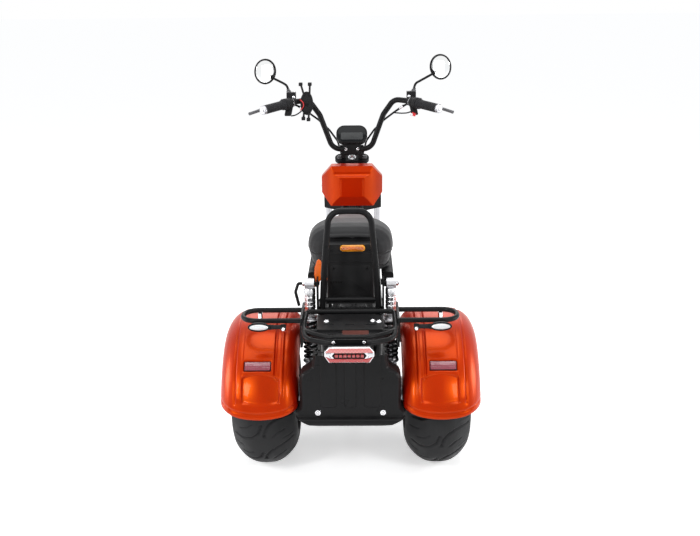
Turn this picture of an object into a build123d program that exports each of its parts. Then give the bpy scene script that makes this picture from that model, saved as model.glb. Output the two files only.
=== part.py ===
from build123d import *
import os
from math import sin, cos, tan, radians

# Three-wheeled electric chopper: one steered fat wheel in a raked fork, two fat wheels on a
# driven rear axle. Millimetres. +X is the rider's right, +Y forward, +Z up, ground at z = 0.

# Driving dimensions
TYRE_R = 225                  # all three tyres are this tall, half
TRACK_X = 283                 # middle of each rear tyre
AXLE_Y = -560                 # rear axle
AXLE_Z = TYRE_R
REAR_TYRE_W = 215
FRONT_TYRE_W = 150
RIM_R = 104                   # bead seat
RAKE = 25.8                   # steering axis, degrees from upright
HEAD_Y = 400                  # steering axis at the top fork plate
HEAD_Z = 860
FORK_OFFSET = 34              # fork legs ahead of the steering axis
LEG_X = 104                   # middle of each fork leg
RAIL_X = 93                   # upper frame rails
RAIL_Z = 527.5
RAIL_R = 12.5
RACK_Z = 548                  # rack tubes, level with each other
RACK_R = 8
RACK_X = 141
FENDER_R = 326                # outer face of a rear fender's crown
FENDER_Z = 200                # its centre, a little under the axle
SKIN = 4                      # sheet of the fenders and covers

RAKE_SIN = sin(radians(RAKE))
RAKE_COS = cos(radians(RAKE))
FRONT_Y = HEAD_Y + (HEAD_Z - TYRE_R) * tan(radians(RAKE)) + FORK_OFFSET / RAKE_COS
BACK_Y = -(FRONT_Y + TYRE_R)  # the rearmost rack tube mirrors the front tyre's tread
FORK_DROP = (FRONT_Y - HEAD_Y) * RAKE_SIN + (HEAD_Z - TYRE_R) * RAKE_COS

# Steering plane: local x across, y ahead of the axis, z up along it, from the top fork plate
STEER = Plane(origin=(0, HEAD_Y, HEAD_Z), x_dir=(1, 0, 0), z_dir=(0, -RAKE_SIN, RAKE_COS))


def save(node, shape):
    """Label one finished piece and write it under its node's name."""
    shape.label = node
    export_step(shape, f"parts/{node}.step")


def tube(points, radius, bends, mode=Mode.ADD, close=False):
    """Round bar along straight runs joined by tangent arcs, in the builder that calls it."""
    with BuildLine() as route:
        FilletPolyline(*points, radius=bends, close=close)
    with BuildSketch(Plane(origin=route.line @ 0, z_dir=route.line % 0)) as ring:
        Circle(radius)
    sweep(ring.sketch, path=route.line, mode=mode)


def rod(start, end, radius, mode=Mode.ADD):
    """Straight round bar between two points, in the builder that calls it."""
    with BuildSketch(Plane(origin=start, z_dir=Vector(*end) - Vector(*start))) as ring:
        Circle(radius)
    extrude(ring.sketch, amount=(Vector(*end) - Vector(*start)).length, mode=mode)


def block(corner, other, mode=Mode.ADD):
    """Straight-sided block between two opposite corners, in the builder that calls it."""
    with Locations(tuple((a + b) / 2 for a, b in zip(corner, other))):
        Box(*[abs(b - a) for a, b in zip(corner, other)], mode=mode)


def sided(points, side):
    """A right-hand route, or its mirror on the left when side is -1."""
    return [(side * x, y, z) for x, y, z in points]


def steer(x, y, z):
    """Row-frame point of a place given in the steering plane."""
    return tuple(STEER.from_local_coords((x, y, z)))


os.makedirs("parts", exist_ok=True)

# ---------------------------------------------------------------- frame
HEAD_TUBE_R = 28
HEAD_TUBE_TOP = -25           # along the steering axis, from the top plate
HEAD_TUBE_END = -205
STEM_R = 18
STEM_FIT = 0.05               # radial clearance of the stem in its head tube
SPINE_R = 16
FLOOR_TUBE_Z = 200
DECK_Z = FLOOR_TUBE_Z + SPINE_R
PIVOT_Y = -312                # swingarm pivot
PIVOT_Z = 280
PIVOT_R = 10
HINGE_Y = 40                  # seat hinge, under the saddle's nose
HINGE_Z = 613
HINGE_R = 5
BOX_BACK_Y = 362              # back of the front box, on its bracket
SHOCK_X = 133
SHOCK_Y = AXLE_Y - 10
SHOCK_TOP_Z = 620
SHOCK_FOOT_Z = 335
SHOCK_EYE_R = 6

spine_route = [(24, 434, 775), (30, 374, 615), (62, 250, 308), (88, 170, FLOOR_TUBE_Z),
               (RAIL_X, -260, FLOOR_TUBE_Z), (RAIL_X, -400, 408), (RAIL_X, -470, RAIL_Z)]
spine_bends = [120, 160, 90, 90, 90]
rail_route = [(RAIL_X, BACK_Y + 140, RAIL_Z), (RAIL_X, -35, RAIL_Z), (90, 60, FLOOR_TUBE_Z)]

with BuildPart() as frame:
    for side in (-1, 1):
        tube(sided(spine_route, side), SPINE_R, spine_bends)
        tube(sided(rail_route, side), RAIL_R, [80])
        block((side * 104, SHOCK_Y - 20, RAIL_Z - 5), (side * 110, SHOCK_Y + 20, SHOCK_TOP_Z + 18))
        rod((side * 100, SHOCK_Y, SHOCK_TOP_Z), (side * 157, SHOCK_Y, SHOCK_TOP_Z), SHOCK_EYE_R)
    for y, z, radius in [(-470, RAIL_Z, 11), (-36, RAIL_Z - 2, 11), (-200, DECK_Z - 13, 13),
                         (120, DECK_Z - 13, 13), (PIVOT_Y, PIVOT_Z, PIVOT_R)]:
        rod((-RAIL_X, y, z), (RAIL_X, y, z), radius)
    for side in (-1, 1):
        with BuildSketch(Plane.YZ.offset(side * 27)):
            Polygon((-52, RAIL_Z - 4), (-20, RAIL_Z - 4), (HINGE_Y + 10, HINGE_Z), (HINGE_Y, HINGE_Z + 9),
                    (HINGE_Y - 12, HINGE_Z), align=None)
        extrude(amount=3, both=True)
    rod((-32, HINGE_Y, HINGE_Z), (32, HINGE_Y, HINGE_Z), HINGE_R)
    block((-30, BOX_BACK_Y, 738), (30, BOX_BACK_Y + 4, 782))
    block((-12, BOX_BACK_Y, 744), (12, BOX_BACK_Y + 68, 776))
    rod(steer(0, 0, HEAD_TUBE_END), steer(0, 0, HEAD_TUBE_TOP), HEAD_TUBE_R)
    rod(steer(0, 0, HEAD_TUBE_END - 5), steer(0, 0, HEAD_TUBE_TOP + 5), STEM_R + STEM_FIT, Mode.SUBTRACT)
save("frame", frame.part)

# ---------------------------------------------------------------- floor
DECK_THICK = 14
with BuildPart() as floorboard:
    with BuildSketch(Plane.XY.offset(DECK_Z)):
        with BuildLine():
            Polyline((-90, 300), (90, 300), (165, 210), (165, -190), (120, -240), (-120, -240),
                     (-165, -190), (-165, 210), close=True)
        make_face()
    extrude(amount=DECK_THICK)
    with BuildSketch(Plane.XY.offset(DECK_Z + DECK_THICK)):
        with GridLocations(42, 0, 7, 1):
            Rectangle(8, 330)
    extrude(amount=3)
    for side in (-1, 1):
        tube(sided(spine_route, side), SPINE_R + 2, spine_bends, Mode.SUBTRACT)
        tube(sided(rail_route, side), RAIL_R + 2, [80], Mode.SUBTRACT)
save("floorboard", floorboard.part)

# ---------------------------------------------------------------- faceted front box
BOX_X = 123                   # widest half
BOX_TOP_X = 82
BOX_LOW_Z = 689
BOX_TOP_Z = 851
BOX_RIM_Y = 312
BOX_PANEL_Y = 248
box_rim = [(-BOX_TOP_X, BOX_TOP_Z), (BOX_TOP_X, BOX_TOP_Z), (BOX_X, 801), (BOX_X, 737),
           (BOX_TOP_X + 4, BOX_LOW_Z), (-BOX_TOP_X - 4, BOX_LOW_Z), (-BOX_X, 737), (-BOX_X, 801)]
# the rounded sides in plan, and the panel, lip and front cut from the side
box_plan = [(50, BOX_PANEL_Y), (82, BOX_PANEL_Y + 19), (104, BOX_PANEL_Y + 39), (BOX_X, BOX_RIM_Y),
            (BOX_X, BOX_BACK_Y)]
box_side = [(BOX_PANEL_Y + 20, BOX_TOP_Z), (BOX_PANEL_Y + 14, 828), (BOX_PANEL_Y + 12, 817), (BOX_PANEL_Y, 809),
            (BOX_PANEL_Y, 729), (BOX_PANEL_Y + 21, BOX_LOW_Z), (BOX_BACK_Y, BOX_LOW_Z), (BOX_BACK_Y, 785),
            (BOX_RIM_Y + 20, BOX_TOP_Z)]
with BuildPart() as front_box:
    with BuildSketch(Plane.XZ.offset(-BOX_PANEL_Y)):
        Polygon(*box_rim, align=None)
    extrude(amount=-130)
    with BuildSketch(Plane.XY.offset(BOX_LOW_Z - 10)):
        Polygon(*box_plan, *[(-x, y) for x, y in box_plan[::-1]], align=None)
    extrude(amount=190, mode=Mode.INTERSECT)
    with BuildSketch(Plane.YZ):
        Polygon(*box_side, align=None)
    extrude(amount=BOX_X + 10, both=True, mode=Mode.INTERSECT)
save("front_box", front_box.part)

# ---------------------------------------------------------------- battery box and side covers
with BuildPart() as battery_box:
    block((-78, -462, RAIL_Z + 14), (78, -68, 615))
    block((-78, -506, RAIL_Z + 14), (78, -462, 733))
    fillet(battery_box.edges().filter_by(Axis.Z), 8)
save("battery_box", battery_box.part)

with BuildPart() as side_covers:
    for side in (-1, 1):
        block((side * 106, -452, 571), (side * 145, -190, 623))
    fillet(side_covers.edges().filter_by(Axis.Y), 12)
save("side_covers", side_covers.part)

# ---------------------------------------------------------------- seat
SEAT_BACK = -478
SEAT_NOSE = 62
SEAT_X = 152
SEAT_SEAM_Z = 687             # where the top panel meets the skirt
# the cushion's top line: distance along the trike, height
seat_top = [(SEAT_BACK - 2, 723), (-462, 751), (-425, 769), (-385, 775), (-300, 771), (-100, 738),
            (SEAT_NOSE - 30, 721), (SEAT_NOSE + 2, 701)]


def seat_outline(grow, z, height):
    """Saddle's plan, raised: a blunt back, widest at the hips and narrow between the knees."""
    hips = SEAT_X + grow
    half = [(112 + grow, SEAT_BACK - grow), (hips, -395), (hips, -285), (74 + grow, -110),
            (60 + grow, SEAT_NOSE + grow)]
    with BuildSketch(Plane.XY.offset(z)) as plan:
        with BuildLine():
            FilletPolyline(*half, *[(-x, y) for x, y in half[::-1]], close=True,
                           radius=[45, 60, 80, 200, 30, 30, 200, 80, 60, 45])
        make_face()
    extrude(plan.sketch, amount=height)


with BuildPart() as seat_pan:
    seat_outline(-22, 629, 8)
    block((-20, HINGE_Y - 10, HINGE_Z), (20, HINGE_Y + 10, 631))
    rod((-20, HINGE_Y, HINGE_Z), (20, HINGE_Y, HINGE_Z), 10)
    rod((-22, HINGE_Y, HINGE_Z), (22, HINGE_Y, HINGE_Z), HINGE_R + 0.05, Mode.SUBTRACT)
    block((-84, -440, 675), (84, -600, 615), Mode.SUBTRACT)
save("seat_pan", seat_pan.part)

with BuildPart() as seat_cushion:
    seat_outline(-9, 637, SEAT_SEAM_Z - 637)
    seat_outline(0, SEAT_SEAM_Z, 100)
    chamfer(seat_cushion.faces().sort_by(Axis.Z)[-1].edges(), 26, 18)
    with BuildSketch(Plane.YZ):
        Polygon((SEAT_BACK - 2, 675), *seat_top, (SEAT_NOSE + 2, 615), (-440, 615), (-440, 675), align=None)
    extrude(amount=SEAT_X + 10, both=True, mode=Mode.INTERSECT)
    block((-92, -440, 739), (92, -600, 615), Mode.SUBTRACT)
save("seat_cushion", seat_cushion.part)

# ---------------------------------------------------------------- hoop behind the seat
HOOP_R = 10
HOOP_Y = AXLE_Y - 20
HOOP_FOOT_Z = RAIL_Z + RAIL_R
hoop_half = [(91, HOOP_Y, HOOP_FOOT_Z), (84, HOOP_Y, 675), (66, HOOP_Y, 863)]
with BuildPart() as hoop:
    tube(hoop_half + sided(hoop_half, -1)[::-1], HOOP_R, [400, 44, 44, 400])
    rod((-88, HOOP_Y, 567), (88, HOOP_Y, 567), 7)
save("hoop", hoop.part)

# ---------------------------------------------------------------- rear rack
PLATE_X = 154                 # outer face of the upright side plates
BOW_UPPER_Y = AXLE_Y - 329
BOW_LOWER_Y = AXLE_Y - 355
BOW_DROP = 8
PLATE_BACK = AXLE_Y - 258
PLATE_FRONT = AXLE_Y - 142
RACK_FRONT_Y = AXLE_Y - 85
RACK_CROSS_Y = AXLE_Y - 272
SLOT_PITCH = 64
SLOT_LEN = 31
SLOT_W = 7
LAMP_Y = BACK_Y
LAMP_Z = 522.5
LAMP_DEPTH = 30
LAMP_BACK = LAMP_Y + LAMP_DEPTH
with BuildPart() as rack:
    upper = [(RACK_X, RACK_FRONT_Y, RACK_Z), (RACK_X, RACK_CROSS_Y, RACK_Z), (60, BOW_UPPER_Y, RACK_Z)]
    tube(upper + sided(upper, -1)[::-1], RACK_R, [20, 80, 100, 100, 80, 20], close=True)
    lower = [(RACK_X - 2, RACK_CROSS_Y + 8, RACK_Z), (132, RACK_CROSS_Y - 42, RACK_Z - BOW_DROP),
             (60, BOW_LOWER_Y, RACK_Z - BOW_DROP)]
    tube(lower + sided(lower, -1)[::-1], RACK_R, [50, 90, 90, 50])
    rod((-RACK_X, RACK_CROSS_Y, RACK_Z), (RACK_X, RACK_CROSS_Y, RACK_Z), RACK_R - 0.5)
    with BuildSketch(Plane.XY.offset(RACK_Z + 5)):
        Polygon((-88, PLATE_FRONT), (88, PLATE_FRONT), (99, PLATE_FRONT - 11),
                (99, PLATE_BACK - 22), (-99, PLATE_BACK - 22), (-99, PLATE_FRONT - 11), align=None)
        with Locations((0, AXLE_Y - 235)):
            with GridLocations(SLOT_PITCH, 0, 3, 1):
                SlotOverall(SLOT_LEN, SLOT_W, mode=Mode.SUBTRACT)
    extrude(amount=4)
    for side in (-1, 1):
        block((side * 147, AXLE_Y - 215, 475), (side * PLATE_X, AXLE_Y - 50, 569))
    block((-51, BOW_LOWER_Y - RACK_R - 3, LAMP_Z - 18), (51, BOW_LOWER_Y - RACK_R + 2, RACK_Z + 9))
    block((-30, LAMP_BACK, LAMP_Z - 12), (30, BOW_LOWER_Y - RACK_R - 2, LAMP_Z + 12))
save("rack", rack.part)

# ---------------------------------------------------------------- loops over the fenders
LOOP_Z = 560
LOOP_FRONT_Y = AXLE_Y - 102
LOOP_BACK_Y = AXLE_Y - 205
LOOP_END_X = 334
loop_route = [(PLATE_X, LOOP_FRONT_Y, LOOP_Z), (LOOP_END_X, LOOP_FRONT_Y, LOOP_Z),
              (LOOP_END_X, LOOP_BACK_Y, LOOP_Z), (PLATE_X, LOOP_BACK_Y, LOOP_Z)]

FENDER_CROWN_Z = FENDER_Z + (FENDER_R ** 2 - (LOOP_FRONT_Y - AXLE_Y) ** 2) ** 0.5  # under a loop's post

with BuildPart() as side_loops:
    for side in (-1, 1):
        post = (side * 287, LOOP_FRONT_Y)
        rod((*post, FENDER_CROWN_Z - 10), (*post, LOOP_Z), 6)
        tube(sided(loop_route, side), RACK_R, [46, 46])
    rod((-400, AXLE_Y, FENDER_Z), (400, AXLE_Y, FENDER_Z), FENDER_R + 0.02, Mode.SUBTRACT)
save("side_loops", side_loops.part)

# ---------------------------------------------------------------- rear fenders
FENDER_START = 22             # front edge, degrees up from the axle's level
FENDER_SWEEP = 147
LIP_Z = 275                   # lowest point of the rear lip, at the tyre's middle
LIP_R = 310                   # the lip rises to both sides on this radius
# across from the tyre's middle, and out from the fender's centre
fender_outer = [(-117, 262), (-113, 292), (-96, 316), (-78, 322), (-74, 326), (64, 326), (68, 322),
                (86, 316), (106, 296), (117, 262)]
fender_inner = [(113, 262), (102, 293), (84, 312), (66, 318), (-76, 318), (-94, 312), (-109, 290),
                (-113, 262)]
start = radians(FENDER_START)
fender_plane = Plane(origin=(0, AXLE_Y, FENDER_Z), x_dir=(1, 0, 0), z_dir=(0, -sin(start), cos(start)))
fender_axis = Axis((0, AXLE_Y, FENDER_Z), (1, 0, 0))
for name, side in [("fender_left", -1), ("fender_right", 1)]:
    with BuildPart() as fender:
        with BuildSketch(fender_plane):
            Polygon(*[(side * (TRACK_X + u), r) for u, r in fender_outer + fender_inner], align=None)
        revolve(axis=fender_axis, revolution_arc=FENDER_SWEEP)
        with BuildSketch(Plane.XZ.offset(-AXLE_Y + 150)):
            with Locations((side * TRACK_X, LIP_Z - 60)):
                Rectangle(260, 200)
            with Locations((side * TRACK_X, LIP_Z + LIP_R)):
                Circle(LIP_R, mode=Mode.SUBTRACT)
        extrude(amount=200, mode=Mode.SUBTRACT)
    save(name, fender.part)

# ---------------------------------------------------------------- rear cover and lamps
COVER_Y = AXLE_Y - 285
COVER_RIBS = [(-66, 50), (0, 38), (66, 50)]   # middle and width of each raised panel

with BuildPart() as rear_cover:
    with BuildSketch(Plane.XZ.offset(-COVER_Y)):
        with BuildLine():
            Polyline((0, 243), (96, 245), (138, 251), (158, 260), (172, 278), (168, 289), (156, 300),
                     (156, 383), (150, 413), (118, 431), (112, 475), (0, 475))
            mirror(about=Plane.YZ)
        make_face()
    extrude(amount=-60)
    offset(openings=rear_cover.faces().sort_by(Axis.Y)[-1], amount=-SKIN)
    with BuildSketch(Plane.XZ.offset(-COVER_Y)):
        for x, width in COVER_RIBS:
            with Locations((x, 395)):
                Rectangle(width, 160)
    extrude(amount=4)
    with BuildSketch(Plane.XZ.offset(-COVER_Y)):
        with BuildLine():
            Polyline((0, 243), (96, 245), (138, 251), (158, 260), (172, 278), (168, 289), (150, 285),
                     (134, 277), (96, 271), (0, 269))
            mirror(about=Plane.YZ)
        make_face()
    extrude(amount=14)
save("rear_cover", rear_cover.part)

lamp_face = [(-73, 9), (-61, 23), (61, 23), (73, 9), (73, -3), (60, -23), (-60, -23), (-73, -3)]
with BuildPart() as tail_lamp:
    with BuildSketch(Plane.XZ.offset(-LAMP_Y)):
        Polygon(*[(x, LAMP_Z + z) for x, z in lamp_face], align=None)
    extrude(amount=-LAMP_DEPTH)
save("tail_lamp", tail_lamp.part)

with BuildPart() as amber_lamp:
    with BuildSketch(Plane.XZ.offset(506)):
        with Locations((8, 722)):
            SlotOverall(82, 20)
    extrude(amount=12)
save("amber_lamp", amber_lamp.part)

SIGNAL_Y = AXLE_Y - 246
SIGNAL_Z = 553
with BuildPart() as rear_signals:
    for side in (-1, 1):
        with BuildSketch(Plane.XZ.offset(-SIGNAL_Y)):
            with Locations((side * 278, SIGNAL_Z)):
                Ellipse(33, 12)
        extrude(amount=-28)
        rod((side * 250, SIGNAL_Y + 14, SIGNAL_Z - 4), (side * 196, SIGNAL_Y + 14, SIGNAL_Z - 4), 6)
        block((side * 196, SIGNAL_Y + 8, LOOP_Z - RACK_R - 13), (side * 212, LOOP_BACK_Y + 8, LOOP_Z - RACK_R))
save("rear_signals", rear_signals.part)

lean = radians(41)            # how far up the fender's back the reflectors sit
reflector_plane = Plane(origin=(0, AXLE_Y - (FENDER_R + 0.5) * cos(lean), FENDER_Z + (FENDER_R + 0.5) * sin(lean)),
                        x_dir=(1, 0, 0), z_dir=(0, -cos(lean), sin(lean)))
with BuildPart() as reflectors:
    for side in (-1, 1):
        with BuildSketch(reflector_plane):
            with Locations((side * (TRACK_X + 4), 0)):
                RectangleRounded(84, 30, 4)
        extrude(amount=8)
save("reflectors", reflectors.part)

# ---------------------------------------------------------------- driven axle
HOUSING_X = 150
SPINDLE_R = 15
WHEEL_FIT = 0.05
SPINDLE_END = 345
with BuildPart() as axle_housing:
    rod((-HOUSING_X, AXLE_Y, AXLE_Z), (HOUSING_X, AXLE_Y, AXLE_Z), 28)
    rod((-50, AXLE_Y, AXLE_Z), (50, AXLE_Y, AXLE_Z), 78)
    rod((-SPINDLE_END, AXLE_Y, AXLE_Z), (SPINDLE_END, AXLE_Y, AXLE_Z), SPINDLE_R)
    for side in (-1, 1):
        block((side * 98, AXLE_Y - 22, AXLE_Z), (side * 104, AXLE_Y + 22, SHOCK_FOOT_Z + 14))
        rod((side * 100, SHOCK_Y, SHOCK_FOOT_Z), (side * 152, SHOCK_Y, SHOCK_FOOT_Z), SHOCK_EYE_R)
save("axle_housing", axle_housing.part)

with BuildPart() as swingarm:
    rod((-72, PIVOT_Y, PIVOT_Z), (72, PIVOT_Y, PIVOT_Z), 18)
    for side in (-1, 1):
        with BuildSketch(Plane.YZ.offset(side * 64)):
            Polygon((PIVOT_Y, PIVOT_Z + 16), (PIVOT_Y, PIVOT_Z - 16), (AXLE_Y + 20, 205),
                    (AXLE_Y + 20, 245), align=None)
        extrude(amount=8, both=True)
    rod((-HOUSING_X, AXLE_Y, AXLE_Z), (HOUSING_X, AXLE_Y, AXLE_Z), 28, Mode.SUBTRACT)
    rod((-80, PIVOT_Y, PIVOT_Z), (80, PIVOT_Y, PIVOT_Z), PIVOT_R + 0.02, Mode.SUBTRACT)
save("swingarm", swingarm.part)

with BuildPart() as shock_bodies:
    for side in (-1, 1):
        x = side * SHOCK_X
        rod((x, SHOCK_Y, 450), (x, SHOCK_Y, 607), 17)
        rod((x, SHOCK_Y, 348), (x, SHOCK_Y, 450), 8)
        for z in (SHOCK_TOP_Z, SHOCK_FOOT_Z):
            rod((x - 15, SHOCK_Y, z), (x + 15, SHOCK_Y, z), 17)
            rod((x - 16, SHOCK_Y, z), (x + 16, SHOCK_Y, z), SHOCK_EYE_R + 0.05, Mode.SUBTRACT)
save("shock_bodies", shock_bodies.part)

with BuildPart() as shock_springs:
    for side in (-1, 1):
        with BuildSketch(Plane.XY.offset(356)):
            with Locations((side * SHOCK_X, SHOCK_Y)):
                Circle(25)
                Circle(18, mode=Mode.SUBTRACT)
        extrude(amount=140)
save("shock_springs", shock_springs.part)

# ---------------------------------------------------------------- small levers
with BuildPart() as parking_lever:
    tube([(-157.2, SHOCK_Y, SHOCK_TOP_Z), (-170, SHOCK_Y, SHOCK_TOP_Z), (-179, SHOCK_Y - 6, 593),
          (-168, SHOCK_Y - 8, 547)], 5, [7, 20])
save("parking_lever", parking_lever.part)

with BuildPart() as release_lever:
    with BuildSketch(Plane.XZ.offset(530)):
        with BuildLine():
            Polyline((-110, 597), (-104, 597), (-96, 638), (-92, 668), (-96, 685), (-103, 691),
                     (-110, 685), (-117, 662), (-119, 640), close=True)
        make_face()
        with Locations((-104, 669)):
            SlotOverall(30, 10, rotation=90, mode=Mode.SUBTRACT)
    extrude(amount=6)
    rod((-106, -533, 612), (-106, -492, 612), 5)
    rod((-109, -497, 612), (-78.05, -497, 612), 5)
save("release_lever", release_lever.part)

# ---------------------------------------------------------------- wheels
HUB_R = 34
DISC_R = 82
DISC_THICK = 4


def wheel_plane(centre_x, axle_y):
    """Upright plane through an axle: local x across, y up from the axle."""
    return Plane(origin=(centre_x, axle_y, AXLE_Z), x_dir=(1, 0, 0), z_dir=(0, -1, 0))


def tyre_shape(centre_x, half, axle_y):
    """Round crown and shoulders, fullest low on the sides, down to the bead seat."""
    section = [(0, TYRE_R), (0.3 * half, TYRE_R - 3), (0.53 * half, TYRE_R - 15), (0.71 * half, TYRE_R - 31),
               (0.88 * half, TYRE_R - 53), (0.96 * half, TYRE_R - 73), (half, TYRE_R - 96),
               (0.76 * half, RIM_R + 11), (0.76 * half, RIM_R)]
    outline = section + [(-x, r) for x, r in section[:0:-1]]
    with BuildPart() as shape:
        with BuildSketch(wheel_plane(centre_x, axle_y)):
            Polygon(*outline, align=None)
        revolve(axis=Axis((0, axle_y, AXLE_Z), (1, 0, 0)))
    return shape.part


def rim_shape(centre_x, half, axle_y, hub_low, hub_high, bore, disc_x):
    """Barrel with bead flanges, a pierced web, a hub on its spindle and a drilled brake disc."""
    seat = 0.76 * half
    barrel = [(-seat, RIM_R), (-seat, RIM_R + 10), (-seat - 4, RIM_R + 10), (-seat - 4, RIM_R - 6),
              (seat + 4, RIM_R - 6), (seat + 4, RIM_R + 10), (seat, RIM_R + 10), (seat, RIM_R)]
    with BuildPart() as shape:
        with BuildSketch(wheel_plane(centre_x, axle_y)):
            Polygon(*barrel, align=None)
            Polygon((-5, HUB_R - 6), (5, HUB_R - 6), (5, RIM_R - 3), (-5, RIM_R - 3), align=None)
        revolve(axis=Axis((0, axle_y, AXLE_Z), (1, 0, 0)))
        rod((hub_low, axle_y, AXLE_Z), (hub_high, axle_y, AXLE_Z), HUB_R)
        rod((hub_low - 1, axle_y, AXLE_Z), (hub_high + 1, axle_y, AXLE_Z), bore, Mode.SUBTRACT)
        with BuildSketch(Plane(origin=(centre_x, axle_y, AXLE_Z), x_dir=(0, 1, 0), z_dir=(1, 0, 0))):
            with PolarLocations(66, 6):
                Circle(19)
        extrude(amount=12, both=True, mode=Mode.SUBTRACT)
        with BuildSketch(Plane(origin=(disc_x, axle_y, AXLE_Z), x_dir=(0, 1, 0), z_dir=(1, 0, 0))):
            Circle(DISC_R)
            Circle(HUB_R - 1, mode=Mode.SUBTRACT)
            with PolarLocations(64, 12):
                Circle(6, mode=Mode.SUBTRACT)
        extrude(amount=DISC_THICK)
    return shape.part


HUB_IN = 156
DISC_X = 160
for name, side in [("left", -1), ("right", 1)]:
    hub_low, hub_high = sorted([side * HUB_IN, side * (SPINDLE_END - 20)])
    disc_x = min(side * DISC_X, side * (DISC_X + DISC_THICK))
    save(f"tyre_rear_{name}", tyre_shape(side * TRACK_X, REAR_TYRE_W / 2, AXLE_Y))
    save(f"rim_rear_{name}", rim_shape(side * TRACK_X, REAR_TYRE_W / 2, AXLE_Y, hub_low, hub_high,
                                       SPINDLE_R + WHEEL_FIT, disc_x))

FRONT_HUB = 62
FRONT_SPINDLE_R = 10
save("tyre_front", tyre_shape(0, FRONT_TYRE_W / 2, FRONT_Y))
save("rim_front", rim_shape(0, FRONT_TYRE_W / 2, FRONT_Y, -FRONT_HUB, FRONT_HUB + 14,
                            FRONT_SPINDLE_R + WHEEL_FIT, FRONT_HUB + 8))

# ---------------------------------------------------------------- rear brake calipers
GAP = 5                       # a caliper's air gap round its disc
CALIPER_IN = AXLE_Y + 29
CALIPER_OUT = AXLE_Y + 106
with BuildPart() as rear_calipers:
    for side in (-1, 1):
        block((side * 104, CALIPER_IN, 206), (side * 184, CALIPER_OUT, 244))
        block((side * (DISC_X - GAP), CALIPER_IN - 1, 200),
              (side * (DISC_X + DISC_THICK + GAP), AXLE_Y + DISC_R + GAP, 250), Mode.SUBTRACT)
        block((side * (DISC_X - 1), CALIPER_IN - 1, 200), (side * 190, AXLE_Y + 48, 250), Mode.SUBTRACT)
save("rear_calipers", rear_calipers.part)

# ---------------------------------------------------------------- fork
STANCHION_R = 13.5
SLIDER_R = 18
CROWN_LOW = -268
CROWN_TOP = -222
with BuildPart() as steering_stem:
    rod(steer(0, 0, CROWN_LOW), steer(0, 0, -8), STEM_R)
    with BuildSketch(STEER.offset(CROWN_LOW)):
        with BuildLine():
            Polyline((0, -26), (60, -10), (122, 12), (122, 56), (60, 52), (0, 52))
            mirror(about=Plane.YZ)
        make_face()
    extrude(amount=CROWN_TOP - CROWN_LOW)
    for side in (-1, 1):
        rod(steer(side * LEG_X, FORK_OFFSET, CROWN_LOW - 5), steer(side * LEG_X, FORK_OFFSET, CROWN_TOP + 5),
            STANCHION_R + 0.02, Mode.SUBTRACT)
save("steering_stem", steering_stem.part)

with BuildPart() as top_plate:
    with BuildSketch(STEER.offset(-10)):
        SlotOverall(140, 54)
    extrude(amount=14)
    rod(steer(0, 0, -12), steer(0, 0, -8), STEM_R + 0.05, Mode.SUBTRACT)
save("top_plate", top_plate.part)

with BuildPart() as fork_stanchions:
    for side in (-1, 1):
        rod(steer(side * LEG_X, FORK_OFFSET, -560), steer(side * LEG_X, FORK_OFFSET, CROWN_TOP + 4), STANCHION_R)
save("fork_stanchions", fork_stanchions.part)

with BuildPart() as fork_sliders:
    for side in (-1, 1):
        rod(steer(side * LEG_X, FORK_OFFSET, -FORK_DROP - 26), steer(side * LEG_X, FORK_OFFSET, -450), SLIDER_R)
        rod(steer(side * LEG_X, FORK_OFFSET, -561), steer(side * LEG_X, FORK_OFFSET, -449), STANCHION_R + 0.02,
            Mode.SUBTRACT)
        rod((side * (LEG_X - 18), FRONT_Y, AXLE_Z), (side * (LEG_X + 18), FRONT_Y, AXLE_Z), 20)
    rod((-LEG_X - 26, FRONT_Y, AXLE_Z), (LEG_X + 26, FRONT_Y, AXLE_Z), FRONT_SPINDLE_R)
save("fork_sliders", fork_sliders.part)

disc_low = FRONT_HUB + 8 - GAP
disc_high = FRONT_HUB + 8 + DISC_THICK + GAP
front_axle_plane = Plane(origin=(54, FRONT_Y, AXLE_Z), x_dir=(0, 1, 0), z_dir=(1, 0, 0))
with BuildPart() as front_caliper:
    with BuildSketch(front_axle_plane):
        with BuildLine():
            Line((0, 0), (110 * cos(radians(128)), 110 * sin(radians(128))))
            RadiusArc((110 * cos(radians(128)), 110 * sin(radians(128))),
                      (110 * cos(radians(176)), 110 * sin(radians(176))), -110)
            Line((110 * cos(radians(176)), 110 * sin(radians(176))), (0, 0))
        make_face()
        Circle(46, mode=Mode.SUBTRACT)
    extrude(amount=44)
    rod((disc_low, FRONT_Y, AXLE_Z), (disc_high, FRONT_Y, AXLE_Z), DISC_R + GAP, Mode.SUBTRACT)
    rod((50, FRONT_Y, AXLE_Z), (LEG_X - 24, FRONT_Y, AXLE_Z), RIM_R - 11, Mode.INTERSECT)
    rod(steer(LEG_X, FORK_OFFSET, -FORK_DROP - 30), steer(LEG_X, FORK_OFFSET, -450), SLIDER_R, Mode.SUBTRACT)
save("front_caliper", front_caliper.part)

fender_tilt = radians(30)
with BuildPart() as front_fender:
    with BuildSketch(Plane(origin=(0, FRONT_Y, AXLE_Z), x_dir=(1, 0, 0),
                           z_dir=(0, -sin(fender_tilt), cos(fender_tilt)))):
        Polygon((-84, 205), (-84, 232), (-60, 246), (60, 246), (84, 232), (84, 205), (81, 205),
                (81, 230), (58, 243), (-58, 243), (-81, 230), (-81, 205), align=None)
    revolve(axis=Axis((0, FRONT_Y, AXLE_Z), (1, 0, 0)), revolution_arc=140)
save("front_fender", front_fender.part)

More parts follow.
